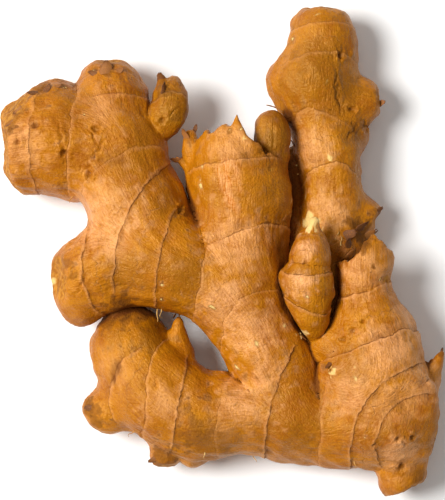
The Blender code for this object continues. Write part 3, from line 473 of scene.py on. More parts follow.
def tube_faces(rows, sides):
    """Faces of a tube whose first and last points close it: two fans and the quads between."""
    i = np.arange(sides)
    j = (i + 1) % sides
    start = 1 + np.arange(rows - 1)[:, None] * sides
    quads = np.stack([start + i, start + j, start + sides + j, start + sides + i], -1)
    end = np.full(sides, rows * sides + 1)
    top = 1 + (rows - 1) * sides
    fans = [np.stack([0 * i, 1 + j, 1 + i], -1), np.stack([top + i, top + j, end], -1)]
    return np.concatenate(fans).tolist() + quads.reshape(-1, 4).tolist()


def prepared(shoots):
    """Gives each shoot its axis, its cuts as planes in the stretched space, and its rings."""
    squash = np.array([1.0, 1.0, FLATNESS])
    for i, form in enumerate(shoots):
        form["axis"] = axis_of(form["path"])
        form["planes"] = []
        for place, normal in form["cuts"]:
            stretched = np.array(normal) * squash
            normal = stretched / np.linalg.norm(stretched)
            form["planes"].append((np.array(place) / squash, normal))
        form["floor"] = FAR_AWAY
        if form["rim"] is not None:
            form["floor"] = rim_at(form, np.arange(360.0)).min() - form["cup"][1]
        form["lines"] = ring_lines(form)
        form["faint"] = faint_lines(form, np.random.default_rng(SEED + 40 + i))


def ring_lines(form):
    """Each ring as (length, slant, bow, step): its line is where the length along the axis is
    length + slant * right + bow * up.

    The first three come from the three places on the upper face that the line passes through.
    """
    lines = []
    centres, radii, forward, lengths = form["axis"]
    level, _ = across_of(forward)
    for *places, step in form["rings"]:
        rows = []
        for x, y in places:
            flat = np.hypot(centres[:, 0] - x, centres[:, 1] - y)
            k = int(flat.argmin())
            offset = np.array([x, y, centres[k, 2]]) - centres[k]
            right = float(offset @ level[k])
            height = math.sqrt(max(radii[k] ** 2 - right**2, 0.0))
            rows.append((lengths[k] + float(offset @ forward[k]), right, height))
        along, right, height = np.array(rows).T
        line = np.linalg.solve(np.stack([np.ones(3), right, height], -1), along)
        lines.append((*line, step))
    return lines


def faint_lines(form, rng):
    """Faint rings drawn between the marked ones, slanted as the nearest of them is."""
    centres, radii, forward, lengths = form["axis"]
    marked = np.array(form["lines"]).reshape(-1, 4)
    lines = []
    at = rng.uniform(*FAINT_RING_START)
    while at < lengths[-1] + 0.5 * radii[-1]:
        if not len(marked) or np.abs(marked[:, 0] - at).min() > FAINT_RING_CLEARANCE:
            near = marked[np.abs(marked[:, 0] - at).argmin()] if len(marked) else np.zeros(4)
            lines.append((at, 0.8 * near[1], 0.5 * near[2]))
        at += rng.uniform(*FAINT_RING_SPACING)
    return lines


def near_axis(form, points):
    """Where points lie beside one shoot: the distance to its skin, the way out, its own
    coordinates, which are the length along the axis and the offsets to the right and up, the
    heading of the axis there, and how far the point is over onto a broken end, from 0 to 1."""
    centres, radii, forward, lengths = form["axis"]
    gap = np.full(len(points), FAR_AWAY)
    out = np.zeros((len(points), 3))
    own = np.zeros((len(points), 3))
    grain = np.zeros((len(points), 3))
    broken = np.zeros(len(points))
    reach = radii.max() + BESIDE
    close = np.flatnonzero(
        ((points > centres.min(0) - reach) & (points < centres.max(0) + reach)).all(axis=1)
    )
    for part in np.array_split(close, max(1, len(close) * len(centres) // CHUNK)):
        p = points[part]
        square = (p**2).sum(axis=1)[:, None] + (centres**2).sum(axis=1) - 2 * p @ centres.T
        apart = np.sqrt(np.maximum(square, 0.0)) - radii
        k = np.clip(apart.argmin(axis=1), 1, len(centres) - 2)
        rows = np.arange(len(p))
        before, here, after = apart[rows, k - 1], apart[rows, k], apart[rows, k + 1]
        bend = np.maximum(before - 2 * here + after, 1e-6)
        shift = np.clip(0.5 * (before - after) / bend, -1.0, 1.0)
        other = k + np.where(shift < 0, -1, 1)
        share = np.abs(shift)[:, None]
        centre = centres[k] * (1 - share) + centres[other] * share
        radius = radii[k] * (1 - share[:, 0]) + radii[other] * share[:, 0]
        heading = forward[k] * (1 - share) + forward[other] * share
        level, up = across_of(heading)
        offset = p - centre
        away = np.linalg.norm(offset, axis=1)
        gap[part] = away - radius
        out[part] = offset / np.maximum(away, 1e-6)[:, None]
        grain[part] = heading
        along = lengths[k] + shift * AXIS_STEP + (offset * heading).sum(axis=1)
        own[part] = np.stack([along, (offset * level).sum(axis=1), (offset * up).sum(axis=1)], -1)
    for place, normal in form["planes"]:
        past = (points - place) @ normal
        past += CUT_DISH * bell(np.linalg.norm(points - place, axis=1), CUT_DISH_WIDTH)
        mix = np.clip(0.5 + 0.5 * (past - gap) / CUT_ROUNDING, 0.0, 1.0)
        gap = gap + mix * (past - gap) + CUT_ROUNDING * mix * (1 - mix)
        out = out + mix[:, None] * (normal - out)
        broken = np.maximum(broken, mix)
    if form["rim"] is not None:
        past = points[:, 1] - rim_at(form, np.degrees(np.arctan2(own[:, 2], own[:, 1])))
        above = past > gap
        gap = np.where(above, past, gap)
        out[above] = (0.0, 1.0, 0.0)
    return gap, out, own, grain, broken


def skin_field(shoots, points):
    """The smooth skin of the whole hand at points, as a dictionary of arrays.

    Each shoot is joined to its parent by a smooth minimum of their distances, and the least of
    those counts: gap is that distance and way the way out of the skin. bare is the distance to the
    unblended tubes. Each point lies between the shoot and the parent in pair, share being the
    shoot's part of it.
    """
    order = {form["name"]: i for i, form in enumerate(shoots)}
    found = [near_axis(form, points) for form in shoots]
    gap, out, own, grain, broken = (np.stack([f[k] for f in found]) for k in range(5))
    best = np.full(len(points), FAR_AWAY)
    way = np.zeros((len(points), 3))
    along = np.zeros((len(points), 3))
    cut = np.zeros(len(points))
    pair = np.zeros((len(points), 2), int)
    share = np.ones(len(points))
    for i, form in enumerate(shoots):
        j = order.get(form["parent"], i)
        blend = max(form["blend"], 1e-3)
        mix = np.ones(len(points)) if j == i else np.clip(0.5 + 0.5 * (gap[j] - gap[i]) / blend, 0, 1)
        joined = gap[j] + mix * (gap[i] - gap[j]) - blend * mix * (1 - mix)
        less = joined < best
        best[less] = joined[less]
        way[less] = (out[j] + mix[:, None] * (out[i] - out[j]))[less]
        along[less] = (grain[j] + mix[:, None] * (grain[i] - grain[j]))[less]
        cut[less] = (broken[j] + mix * (broken[i] - broken[j]))[less]
        pair[less] = (i, j)
        share[less] = mix[less]
    way /= np.maximum(np.linalg.norm(way, axis=1), 1e-6)[:, None]
    along -= (along * way).sum(axis=1)[:, None] * way
    along /= np.maximum(np.linalg.norm(along, axis=1), 1e-6)[:, None]
    field = {"gap": best, "way": way, "bare": gap.min(axis=0), "pair": pair, "share": share}
    return field | {"own": own, "grain": along, "broken": cut}


def stepped(past, step, ragged, teeth, broken_up):
    """One ring at signed distances from it: its relief, and the distance with the ragged edge.

    The relief is a wide pinch with a step in it, where the skin rises to a lip and then drops into
    a groove. The step is ragged with small teeth, and its edge is turned up here and there.
    """
    past = math.copysign(1.0, step) * past + ragged
    lip = RING_LIP * np.exp(-np.abs(past) / RING_LIP_REACH)
    groove = RING_GROOVE * np.exp(-np.abs(past) / RING_GROOVE_REACH)
    raised = lip - RING_PINCH * bell(past, RING_REACH)
    past = past + teeth
    down = 0.5 + 0.5 * np.tanh(past / RING_EDGE)
    turned_up = RING_TURN_UP * bell(past + RING_TURN_UP_AT, RING_TURN_UP_WIDTH) * broken_up
    raised += turned_up - (lip + groove) * down
    return abs(step) * raised, past


class Rings:
    """Gathers the relief of rings at points, and for each point how far it is past the nearest
    ring and how strong that one is."""

    def __init__(self, points):
        self.raised = np.zeros(len(points))
        self.nearest = np.full(len(points), RING_FAR)
        self.strength = np.zeros(len(points))
        self.ragged = RING_WOBBLE * waves(points, RING_WAVE, SEED)
        long, short = RING_TEETH
        teeth = waves(points, long, SEED + 1) + 0.6 * waves(points, short, SEED + 4)
        self.teeth = RING_TEAR * teeth
        self.broken_up = rise(waves(points, RING_BREAKS, SEED + 5), -0.6, 0.8)

    def add(self, here, past, step, weight):
        edge = self.ragged[here], self.teeth[here], self.broken_up[here]
        raised, past = stepped(past, step, *edge)
        self.raised[here] += weight * raised
        strength = abs(step) * weight
        nearer = (np.abs(past) < np.abs(self.nearest[here])) & (strength > RING_SEEN)
        target = here[nearer]
        self.nearest[target] = past[nearer]
        self.strength[target] = strength[nearer]


def add_arcs(rings, points):
    """The rings over joints, each a part of an upright cylinder through its three places. From
    x * x + y * y = 2 * a * x + 2 * b * y + c at the three, (a, b) is its middle."""
    every = np.arange(len(points))
    for *places, step in ARCS:
        xy = np.array(places)
        *middle, c = np.linalg.solve(np.column_stack([2 * xy, np.ones(3)]), (xy**2).sum(axis=1))
        radius = math.sqrt(c + middle[0] ** 2 + middle[1] ** 2)
        offset = points[:, :2] - middle
        toward = (xy[1] - middle) / radius
        ends = (xy[[0, 2]] - middle) @ toward / radius
        half = math.acos(ends.min())
        away = np.linalg.norm(offset, axis=1)
        turned = np.arccos(np.clip(offset @ toward / np.maximum(away, 1e-6), -1.0, 1.0))
        weight = rise((half - turned) * radius, *ARC_FADE)
        rings.add(every, away - radius, step, weight)


def scar_relief(points, way):
    """Round scars as a dished middle with a raised lip, and slits as long narrow grooves.

    SCARS and SLITS are on the upper face. The scars of the cut roots are drawn at random on the
    underside. Returns the relief, and how deep in a scar each point is, from 0 to 1.
    """
    rng = np.random.default_rng(SEED + 9)
    places = rng.uniform((0.0, 0.0), HAND_SIZE, (ROOT_SCARS, 2))
    sizes = rng.uniform(*ROOT_SCAR_SIZE, ROOT_SCARS)
    raised = np.zeros(len(points))
    inside = np.zeros(len(points))
    upper = way[:, 2] > UPPER_FACE
    over = [(x, y, size, upper) for x, y, size in SCARS]
    under = [(x, y, size, way[:, 2] < UNDERSIDE) for (x, y), size in zip(places, sizes)]
    uneven = 1.0 + 0.2 * waves(points, 2.4, SEED + 7)
    for x, y, size, side in over + under:
        apart = np.hypot(points[:, 0] - x, points[:, 1] - y) * uneven
        scar = SCAR_LIP * bell(apart - size, SCAR_LIP_WIDTH * size)
        scar -= SCAR_DEPTH * bell(apart, SCAR_WIDTH * size)
        raised += np.where(side, scar, 0.0)
        shaded = bell(apart, SCAR_SHADE_WIDTH * size)
        inside = np.maximum(inside, np.where(side, shaded, 0.0))
    for x, y, half_length, half_width, degrees in SLITS:
        turn = math.radians(degrees)
        offset = points[:, :2] - (x, y)
        along = offset @ (math.cos(turn), math.sin(turn))
        across = offset @ (-math.sin(turn), math.cos(turn))
        across = across + SLIT_WANDER * waves(points, SLIT_BEND, SEED + 8)
        slit = np.exp(-((along / half_length) ** 4)) * upper
        raised += slit * SLIT_LIP * bell(np.abs(across) - 2 * half_width, half_width)
        raised -= slit * SLIT_DEPTH * bell(across, half_width)
        inside = np.maximum(inside, SLIT_SHADE * slit * bell(across, half_width))
    return raised, inside


def relief(shoots, points, field):
    """The whole relief at skin points, with the ring distance and strength, and the scar mask."""
    raised = LUMPS * waves(points, LUMP_LENGTH, SEED + 2) + DENTS * waves(points, DENT_LENGTH, SEED + 3)
    scars, inside = scar_relief(points, field["way"])
    raised += scars
    fade = rise(waves(points, FAINT_RING_PATCH, SEED + 6), -0.5, 0.9)
    rings = Rings(points)
    add_arcs(rings, points)
    for i, form in enumerate(shoots):
        for side, part in ((0, field["share"]), (1, 1 - field["share"])):
            here = np.flatnonzero((field["pair"][:, side] == i) & (part > 0))
            if not len(here):
                continue
            own, weight = field["own"][i, here], part[here]
            along, right, up = own.T
            for length, slant, bow, step in form["lines"]:
                rings.add(here, along - (length + slant * right + bow * up), step, weight)
            for length, slant, bow in form["faint"]:
                past = along - (length + slant * right + bow * up) + 1.6 * rings.ragged[here]
                fold = bell(past + 0.5, 0.7) - bell(past - 0.4, 0.5)
                raised[here] += weight * fade[here] * FAINT_RING * fold
            stretched = own * (1 / FIBRE_STRETCH, 1.0, 1.0)
            raised[here] += weight * FIBRE_RELIEF * waves(stretched, FIBRE_WIDTH, SEED + 10 + i)
    return raised + rings.raised, rings, inside


def mesh_points(mesh):
    flat = np.empty(len(mesh.vertices) * 3, np.float32)
    mesh.vertices.foreach_get("co", flat)
    return flat.reshape(-1, 3).astype(float)


def baked(obj):
    """Replaces the object's mesh by what its modifiers make of it."""
    graph = bpy.context.evaluated_depsgraph_get()
    mesh = bpy.data.meshes.new_from_object(obj.evaluated_get(graph))
    old = obj.data
    obj.modifiers.clear()
    obj.data = mesh
    bpy.data.meshes.remove(old)
    return mesh


def linked(name, points, faces):
    """A new object of these points and faces, linked to the scene."""
    mesh = bpy.data.meshes.new(name)
    mesh.from_pydata(np.asarray(points).tolist(), [], faces)
    obj = bpy.data.objects.new(name, mesh)
    bpy.context.scene.collection.objects.link(obj)
    return obj


def fused_tubes(shoots):
    """All the tubes in one object, fused into one skin by a voxel remesh."""
    points, faces, start = [], [], 0
    for form in shoots:
        p, f = tube_of(form)
        points.append(p)
        faces += [tuple(start + k for k in face) for face in f]
        start += len(p)
    obj = linked("ginger_skin", np.vstack(points), faces)
    remesh = obj.modifiers.new("fuse", "REMESH")
    remesh.mode = "VOXEL"
    remesh.voxel_size = VOXEL
    baked(obj)
    return obj


def in_cup(shoots, points, field):
    """How far each point is down inside a torn cup, under the tubes' own skin, from 0 to 1."""
    floors = np.array([form["floor"] for form in shoots])
    above_floor = points[:, 1] > floors[field["pair"]].min(axis=1) - CUP_MARGIN
    return above_floor * rise(np.abs(field["bare"]), *SKIN_DEPTH)


def shaped(shoots, points):
    """Draws the remeshed points onto the filleted skin, then raises the relief from it.

    Returns the points, and how sharp the relief is at each, from 0 to 1.
    """
    free = 1.0 - in_cup(shoots, points, skin_field(shoots, points))
    for _ in range(2):
        field = skin_field(shoots, points)
        points = points - (free * field["gap"])[:, None] * field["way"]
    field = skin_field(shoots, points)
    raised = relief(shoots, points, field)[0]
    raised = free * raised + (1 - free) * TORN_RELIEF * waves(points, TORN_LENGTH, SEED + 11)
    soft = LUMPS * waves(points, LUMP_LENGTH, SEED + 2)
    sharp = np.clip(np.abs(raised - soft) / RING_LIP, 0.0, 1.0)
    return points + raised[:, None] * field["way"], sharp


def grounded(points):
    """The points with the lowest skin pressed flat on the table."""
    height = points[:, 2]
    return np.column_stack([points[:, :2], np.where(height < PRESSED, 0.0, height)])


def spared(obj, sharp):
    """A vertex group that is high where the skin is plain, in a few steps, for the thinning."""
    group = obj.vertex_groups.new(name="plain")
    step = np.round((1.0 - sharp) * KEEP_STEPS).astype(int)
    for k in range(KEEP_STEPS + 1):
        group.add(np.flatnonzero(step == k).tolist(), k / KEEP_STEPS, "REPLACE")
    return group.name


class Hand:
    """The finished skin, to set small pieces on: places in millimetres of the hand, heights too."""

    def __init__(self, obj, corner):
        mesh = obj.data
        mesh.calc_loop_triangles()
        flat = np.empty(len(mesh.loop_triangles) * 3, np.int32)
        mesh.loop_triangles.foreach_get("vertices", flat)
        self.points = mesh_points(mesh) / MM
        self.tree = BVHTree.FromPolygons(self.points.tolist(), flat.reshape(-1, 3).tolist())
        self.corner = corner

    def top(self, x, y):
        """The highest skin over a place, or else the nearest skin to it, with the way out of it."""
        start = Vector((x - self.corner[0], y - self.corner[1], OVERHEAD))
        place, out, *_ = self.tree.ray_cast(start, Vector((0.0, 0.0, -1.0)))
        if place is None:
            place, out, *_ = self.tree.find_nearest(Vector((start.x, start.y, MID_HEIGHT)))
        return np.array(place), np.array(out)


def attribute(mesh, name, values):
    """Stores one value or vector for each point of the mesh."""
    kind = "FLOAT" if values.ndim == 1 else "FLOAT_VECTOR"
    layer = mesh.attributes.new(name, kind, "POINT")
    layer.data.foreach_set("value" if values.ndim == 1 else "vector", values.astype(np.float32).ravel())


def spots(points, table, uneven):
    """How far each point is inside the round spots of a table: the greatest strength * bell."""
    most = np.zeros(len(points))
    for x, y, radius, strength in table:
        apart = np.hypot(points[:, 0] - x, points[:, 1] - y) * uneven
        most = np.maximum(most, strength * rise(apart, SPOT_END * radius, SPOT_FULL * radius))
    return most


def grown_skin():
    """The whole skin as one mesh, with what its material reads of it stored on its points."""
    prepared(SHOOTS)
    obj = fused_tubes(SHOOTS)
    points, sharp = shaped(SHOOTS, mesh_points(obj.data))
    obj.data.vertices.foreach_set("co", (points * (1, 1, FLATNESS)).astype(np.float32).ravel())
    thin = obj.modifiers.new("thin", "DECIMATE")
    thin.vertex_group = spared(obj, sharp)
    thin.vertex_group_factor = KEEP_RELIEF
    obj.data.calc_loop_triangles()
    thin.ratio = TRIANGLES / len(obj.data.loop_triangles)
    mesh = baked(obj)
    points = grounded(mesh_points(mesh))
    low, high = (np.array(c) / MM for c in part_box("ginger_root"))
    corner = (points.min(axis=0) + points.max(axis=0)) / 2 - (low + high) / 2
    corner[2] = 0.0
    mesh.vertices.foreach_set("co", ((points - corner) * MM).astype(np.float32).ravel())
    obj.vertex_groups.clear()
    stored(mesh, points / (1.0, 1.0, FLATNESS))
    mesh.shade_smooth()
    return obj, corner


def stored(mesh, points):
    """Works out what the material needs from the places of the finished skin.

    grain is the way the fibres run, ring how far past the nearest growth ring and mark how strong
    that one is, crease how closed in the skin is, which darkens the creases as dirt and as painted
    shade, dry where the flesh is broken open and scar how deep in a scar. The skin's spots are
    stored as well: weathered stains with a painted shadow among them, pale spots, scrapes, painted
    highlights and painted shade. tint is a colour to multiply by, which on the far root paints shade.
    """
    field = skin_field(SHOOTS, points)
    _, rings, scar = relief(SHOOTS, points, field)
    air = [skin_field(SHOOTS, points + far * field["way"])["gap"] / far for far in CREASE_REACH]
    open_end = in_cup(SHOOTS, points, field) * (field["bare"] < 0)
    flat_way = field["way"] * (1.0, 1.0, 1.0 / FLATNESS)
    above = rise(flat_way[:, 2], -0.2, 0.2)
    uneven = 1.0 + 0.25 * waves(points, 4.0, SEED + 20) + 0.15 * waves(points, 1.3, SEED + 21)
    tints = np.array([TINTS.get(form["name"], (1.0, 1.0, 1.0)) for form in SHOOTS])
    share = field["share"][:, None]
    attribute(mesh, "grain", field["grain"])
    attribute(mesh, "ring", rings.nearest)
    attribute(mesh, "mark", rings.strength)
    # how closed in the skin is, for the painted shade and dirt in its creases
    attribute(mesh, "crease", 1.0 - np.clip(np.mean(air, axis=0), 0.0, 1.0))
    attribute(mesh, "dry", np.maximum(rise(field["broken"], 0.4, 0.8), open_end))
    attribute(mesh, "scar", scar)
    attribute(mesh, "stain_and_shadow", above * spots(points, STAINS_AND_SHADOWS, uneven))
    attribute(mesh, "pale", above * spots(points, PALE, uneven))
    attribute(mesh, "scrape", above * scraped(points))
    # the next two spot tables paint highlights and shade
    attribute(mesh, "bloom_and_highlight", above * spots(points, HIGHLIGHT_SPOTS, uneven))
    attribute(mesh, "shade", above * spots(points, SHADE, uneven))
    attribute(mesh, "tint", share * tints[field["pair"][:, 0]] + (1 - share) * tints[field["pair"][:, 1]])


def scraped(points):
    """Where the skin is rubbed to its orange under-skin: bells across short lines, 0 to 1."""
    most = np.zeros(len(points))
    for x0, y0, x1, y1, width in SCRAPES:
        span = np.array([x1 - x0, y1 - y0])
        along = np.clip((points[:, :2] - (x0, y0)) @ span / (span @ span), 0.0, 1.0)
        across = np.linalg.norm(points[:, :2] - (x0, y0) - along[:, None] * span, axis=1)
        across += 0.25 * width * waves(points, 5.0, SEED + 22)
        most = np.maximum(most, bell(across, width))
    return most


def sheet_faces(rows, columns):
    """Quads of a grid of points, rows * columns, that face the way of rows x columns."""
    start = (np.arange(rows - 1)[:, None] * columns + np.arange(columns - 1)).reshape(-1)
    return np.stack([start, start + columns, start + columns + 1, start + 1], -1)


def thick_sheet(grid, thickness):
    """A thin closed sheet: a grid of points moved half the thickness out on both sides, and its
    edge closed by a band of quads."""
    rows, columns, _ = grid.shape
    out = np.cross(np.gradient(grid, axis=0), np.gradient(grid, axis=1))
    out /= np.maximum(np.linalg.norm(out, axis=2, keepdims=True), 1e-9)
    points = np.concatenate([grid + out * thickness / 2, grid - out * thickness / 2])
    points = points.reshape(-1, 3)
    face = sheet_faces(rows, columns)
    n = rows * columns
    index = np.arange(n).reshape(rows, columns)
    edge = np.concatenate([index[0, :-1], index[:-1, -1], index[-1, :0:-1], index[:0:-1, 0]])
    after = np.roll(edge, -1)
    band = np.stack([edge, after, after + n, edge + n], -1)
    return points, np.concatenate([face, face[:, ::-1] + n, band]).tolist()


def gathered(name, parts, layers):
    """One object of many small closed parts, with the named values stored on their points."""
    starts = np.cumsum([0] + [len(points) for points, _, _ in parts]).tolist()
    faces = [
        [start + k for k in face] for (_, shell, _), start in zip(parts, starts) for face in shell
    ]
    obj = linked(name, np.concatenate([points for points, _, _ in parts]) * MM, faces)
    for k, layer in enumerate(layers):
        attribute(obj.data, layer, np.concatenate([values[k] for _, _, values in parts]))
    obj.data.shade_smooth()
    return obj


def scale_flakes(hand):
    """Papery scale ends: a pointed leaf that lifts off the skin and curls.

    At u along the leaf from its root and v across it from -1 to 1, it is half a width of
    sqrt(1 - u ** 2.2) to each side, torn by noise, it climbs by the lift and by the curl times
    u squared, and its sides bend down by the cup times v squared.
    """
    rng = np.random.default_rng(SEED + 30)
    u = np.linspace(0.0, 1.0, FLAKE_ROWS)[:, None]
    v = np.linspace(-1.0, 1.0, FLAKE_COLUMNS)[None, :]
    parts = []
    for x, y, degrees, length, width, lift in FLAKES:
        place, out = hand.top(x, y)
        ahead = np.array([math.cos(math.radians(degrees)), math.sin(math.radians(degrees)), 0.0])
        ahead -= out * (ahead @ out)
        ahead /= np.linalg.norm(ahead)
        side = np.cross(out, ahead)
        tear = rng.uniform(-1.0, 1.0, FLAKE_COLUMNS)[None, :] * rng.uniform(*FLAKE_TEAR)
        reach = (u - SUNK) * length * (1.0 + tear * u**2)
        half = 0.5 * width * np.sqrt(np.clip(1.0 - (0.97 * u) ** 2.2, 0.0, 1.0))
        half = half * (1.0 + FLAKE_EDGE_WAVE * np.sin(9.0 * u + rng.uniform(0, 6)) * np.sign(v))
        across = half * v
        climb = reach * math.tan(math.radians(lift)) + rng.uniform(*FLAKE_CURL) * length * u**2
        climb = climb - rng.uniform(*FLAKE_CUP) * across**2 / width
        climb = climb + FLAKE_RIPPLE * np.sin(14.0 * v + 3.0 * u + rng.uniform(0, 6))
        grid = place + reach[..., None] * ahead + across[..., None] * side + climb[..., None] * out
        points, faces = thick_sheet(grid, FLAKE_THICKNESS)
        tip = np.tile(np.broadcast_to(u, reach.shape).ravel(), 2)
        edge = np.tile(np.broadcast_to(np.abs(v), reach.shape).ravel(), 2)
        shade = np.full(len(points), rng.uniform())
        parts.append((points, faces, (tip, edge, shade)))
    return gathered("papery_scales", parts, ("tip", "edge", "shade"))


def rootlets(hand):
    """Dry root threads: round tubes that taper to a third, along a line that leaves the skin and
    sags and curls as two sines of the length."""
    rng = np.random.default_rng(SEED + 31)
    turn = np.linspace(0.0, 2 * math.pi, THREAD_SIDES, endpoint=False)
    parts = []
    for x, y, degrees, length, radius in ROOTLETS:
        place, out = hand.top(x, y)
        ahead = np.array([math.cos(math.radians(degrees)), math.sin(math.radians(degrees)), 0.1])
        side = np.cross(ahead, (0.0, 0.0, 1.0))
        s = np.linspace(-SUNK, 1.0, THREAD_ROWS)[:, None]
        curl = rng.uniform(*THREAD_CURL, 2) * rng.choice((-1, 1), 2)
        line = place + length * s * (0.8 * ahead + 0.35 * out)
        line = line + length * curl[0] * np.sin(3.0 * s**2) * side - length * THREAD_SAG * s**2 * out
        line = line + length * THREAD_KINK * np.sin(8.0 * s + curl[1]) * np.cross(ahead, side)
        forward = np.gradient(line, axis=0)
        forward /= np.linalg.norm(forward, axis=1)[:, None]
        level, up = across_of(forward)
        round_axis = np.cos(turn)[:, None] * level[:, None] + np.sin(turn)[:, None] * up[:, None]
        thick = radius * (1.0 - THREAD_TAPER * s) * (1.0 + THREAD_UNEVEN * np.sin(11.0 * s + curl[0]))
        ring = line[:, None] + thick[..., None] * round_axis
        points = np.vstack([line[:1], ring.reshape(-1, 3), line[-1:]])
        faces = tube_faces(THREAD_ROWS, THREAD_SIDES)
        far = np.concatenate([[0.0], np.repeat(s.ravel(), THREAD_SIDES), [1.0]])
        parts.append((points, faces, (far, np.full(len(points), rng.uniform()))))
    return gathered("rootlets", parts, ("tip", "shade"))


def srgb(red, green, blue):
    """A colour given as it looks on a screen, 0 to 255, as linear light."""
    c = np.array([red, green, blue]) / 255
    return tuple(np.where(c <= 0.04045, c / 12.92, ((c + 0.055) / 1.055) ** 2.4)) + (1.0,)


class Socket:
    """An output of a shader graph. Arithmetic on it adds the nodes that do it."""

    def __init__(self, graph, link):
        self.graph = graph
        self.link = link

    def math(self, operation, *values):
        return self.graph.node("ShaderNodeMath", {"operation": operation}, dict(enumerate(values)))

    def __add__(self, other):
        return self.math("ADD", self, other)

    def __sub__(self, other):
        return self.math("SUBTRACT", self, other)

    def __mul__(self, other):
        return self.math("MULTIPLY", self, other)

    def __truediv__(self, other):
        return self.math("DIVIDE", self, other)

    __radd__ = __add__
    __rmul__ = __mul__

    def most(self, other):
        return self.math("MAXIMUM", self, other)

    def size(self):
        return self.math("ABSOLUTE", self)

    def rise(self, low, high):
        """0 at low, 1 at high, and smooth between, also where high is the lower."""
        steps = {0: self, 1: low, 2: high, 3: 0.0, 4: 1.0}
        if low > high:
            steps.update({1: high, 2: low, 3: 1.0, 4: 0.0})
        return self.graph.node("ShaderNodeMapRange", {"interpolation_type": "SMOOTHSTEP"}, steps)


class Graph:
    """One material and its nodes."""

    def __init__(self, name, constants):
        self.material = bpy.data.materials.new(name)
        self.material.use_nodes = True
        self.tree = self.material.node_tree
        self.shader = self.tree.nodes["Principled BSDF"]
        for key, value in constants.items():
            self.shader.inputs[key].default_value = value
        object_place = self.node("ShaderNodeTexCoord", output="Object")
        self.place = self.vector("SCALE", {0: object_place, 3: 1 / MM})

    def node(self, kind, settings=None, values=None, output=0):
        node = self.tree.nodes.new(kind)
        for key, value in (settings or {}).items():
            setattr(node, key, value)
        for key, value in (values or {}).items():
            self.feed(node.inputs[key], value)
        return Socket(self, node.outputs[output])

    def feed(self, socket, value):
        if isinstance(value, Socket):
            self.tree.links.new(value.link, socket)
        else:
            socket.default_value = value

    def vector(self, operation, values):
        return self.node("ShaderNodeVectorMath", {"operation": operation}, values)

    def stored(self, name, output="Fac"):
        return self.node("ShaderNodeAttribute", {"attribute_name": name}, output=output)

    def noise(self, size, detail=2.0, rough=0.5, place=None):
        """Noise of about this size in millimetres, round 0.5."""
        at = place or self.place
        values = {"Vector": at, "Scale": 1 / size, "Detail": detail, "Roughness": rough}
        return self.node("ShaderNodeTexNoise", {}, values)

    def mix(self, share, first, second, blend="MIX"):
        settings = {"data_type": "RGBA", "blend_type": blend, "clamp_factor": True}
        return self.node("ShaderNodeMix", settings, {0: share, 6: first, 7: second}, output=2)

    def bump(self, height, depth, strength=1.0):
        """Bends the normal by a height from 0 to 1 that stands for this depth in millimetres."""
        values = {"Height": height, "Distance": depth * MM, "Strength": strength}
        return self.node("ShaderNodeBump", {}, values)


def streaks(graph, grain, size, step, taps, detail=1.0):
    """Noise drawn out along the grain: the mean of the noise at places in a row along it."""
    total = 0.0
    for k in range(-taps, taps + 1):
        place = graph.vector("MULTIPLY_ADD", {0: grain, 1: (k * step,) * 3, 2: graph.place})
        total = total + graph.noise(size, detail, place=place)
    return total / (2 * taps + 1)


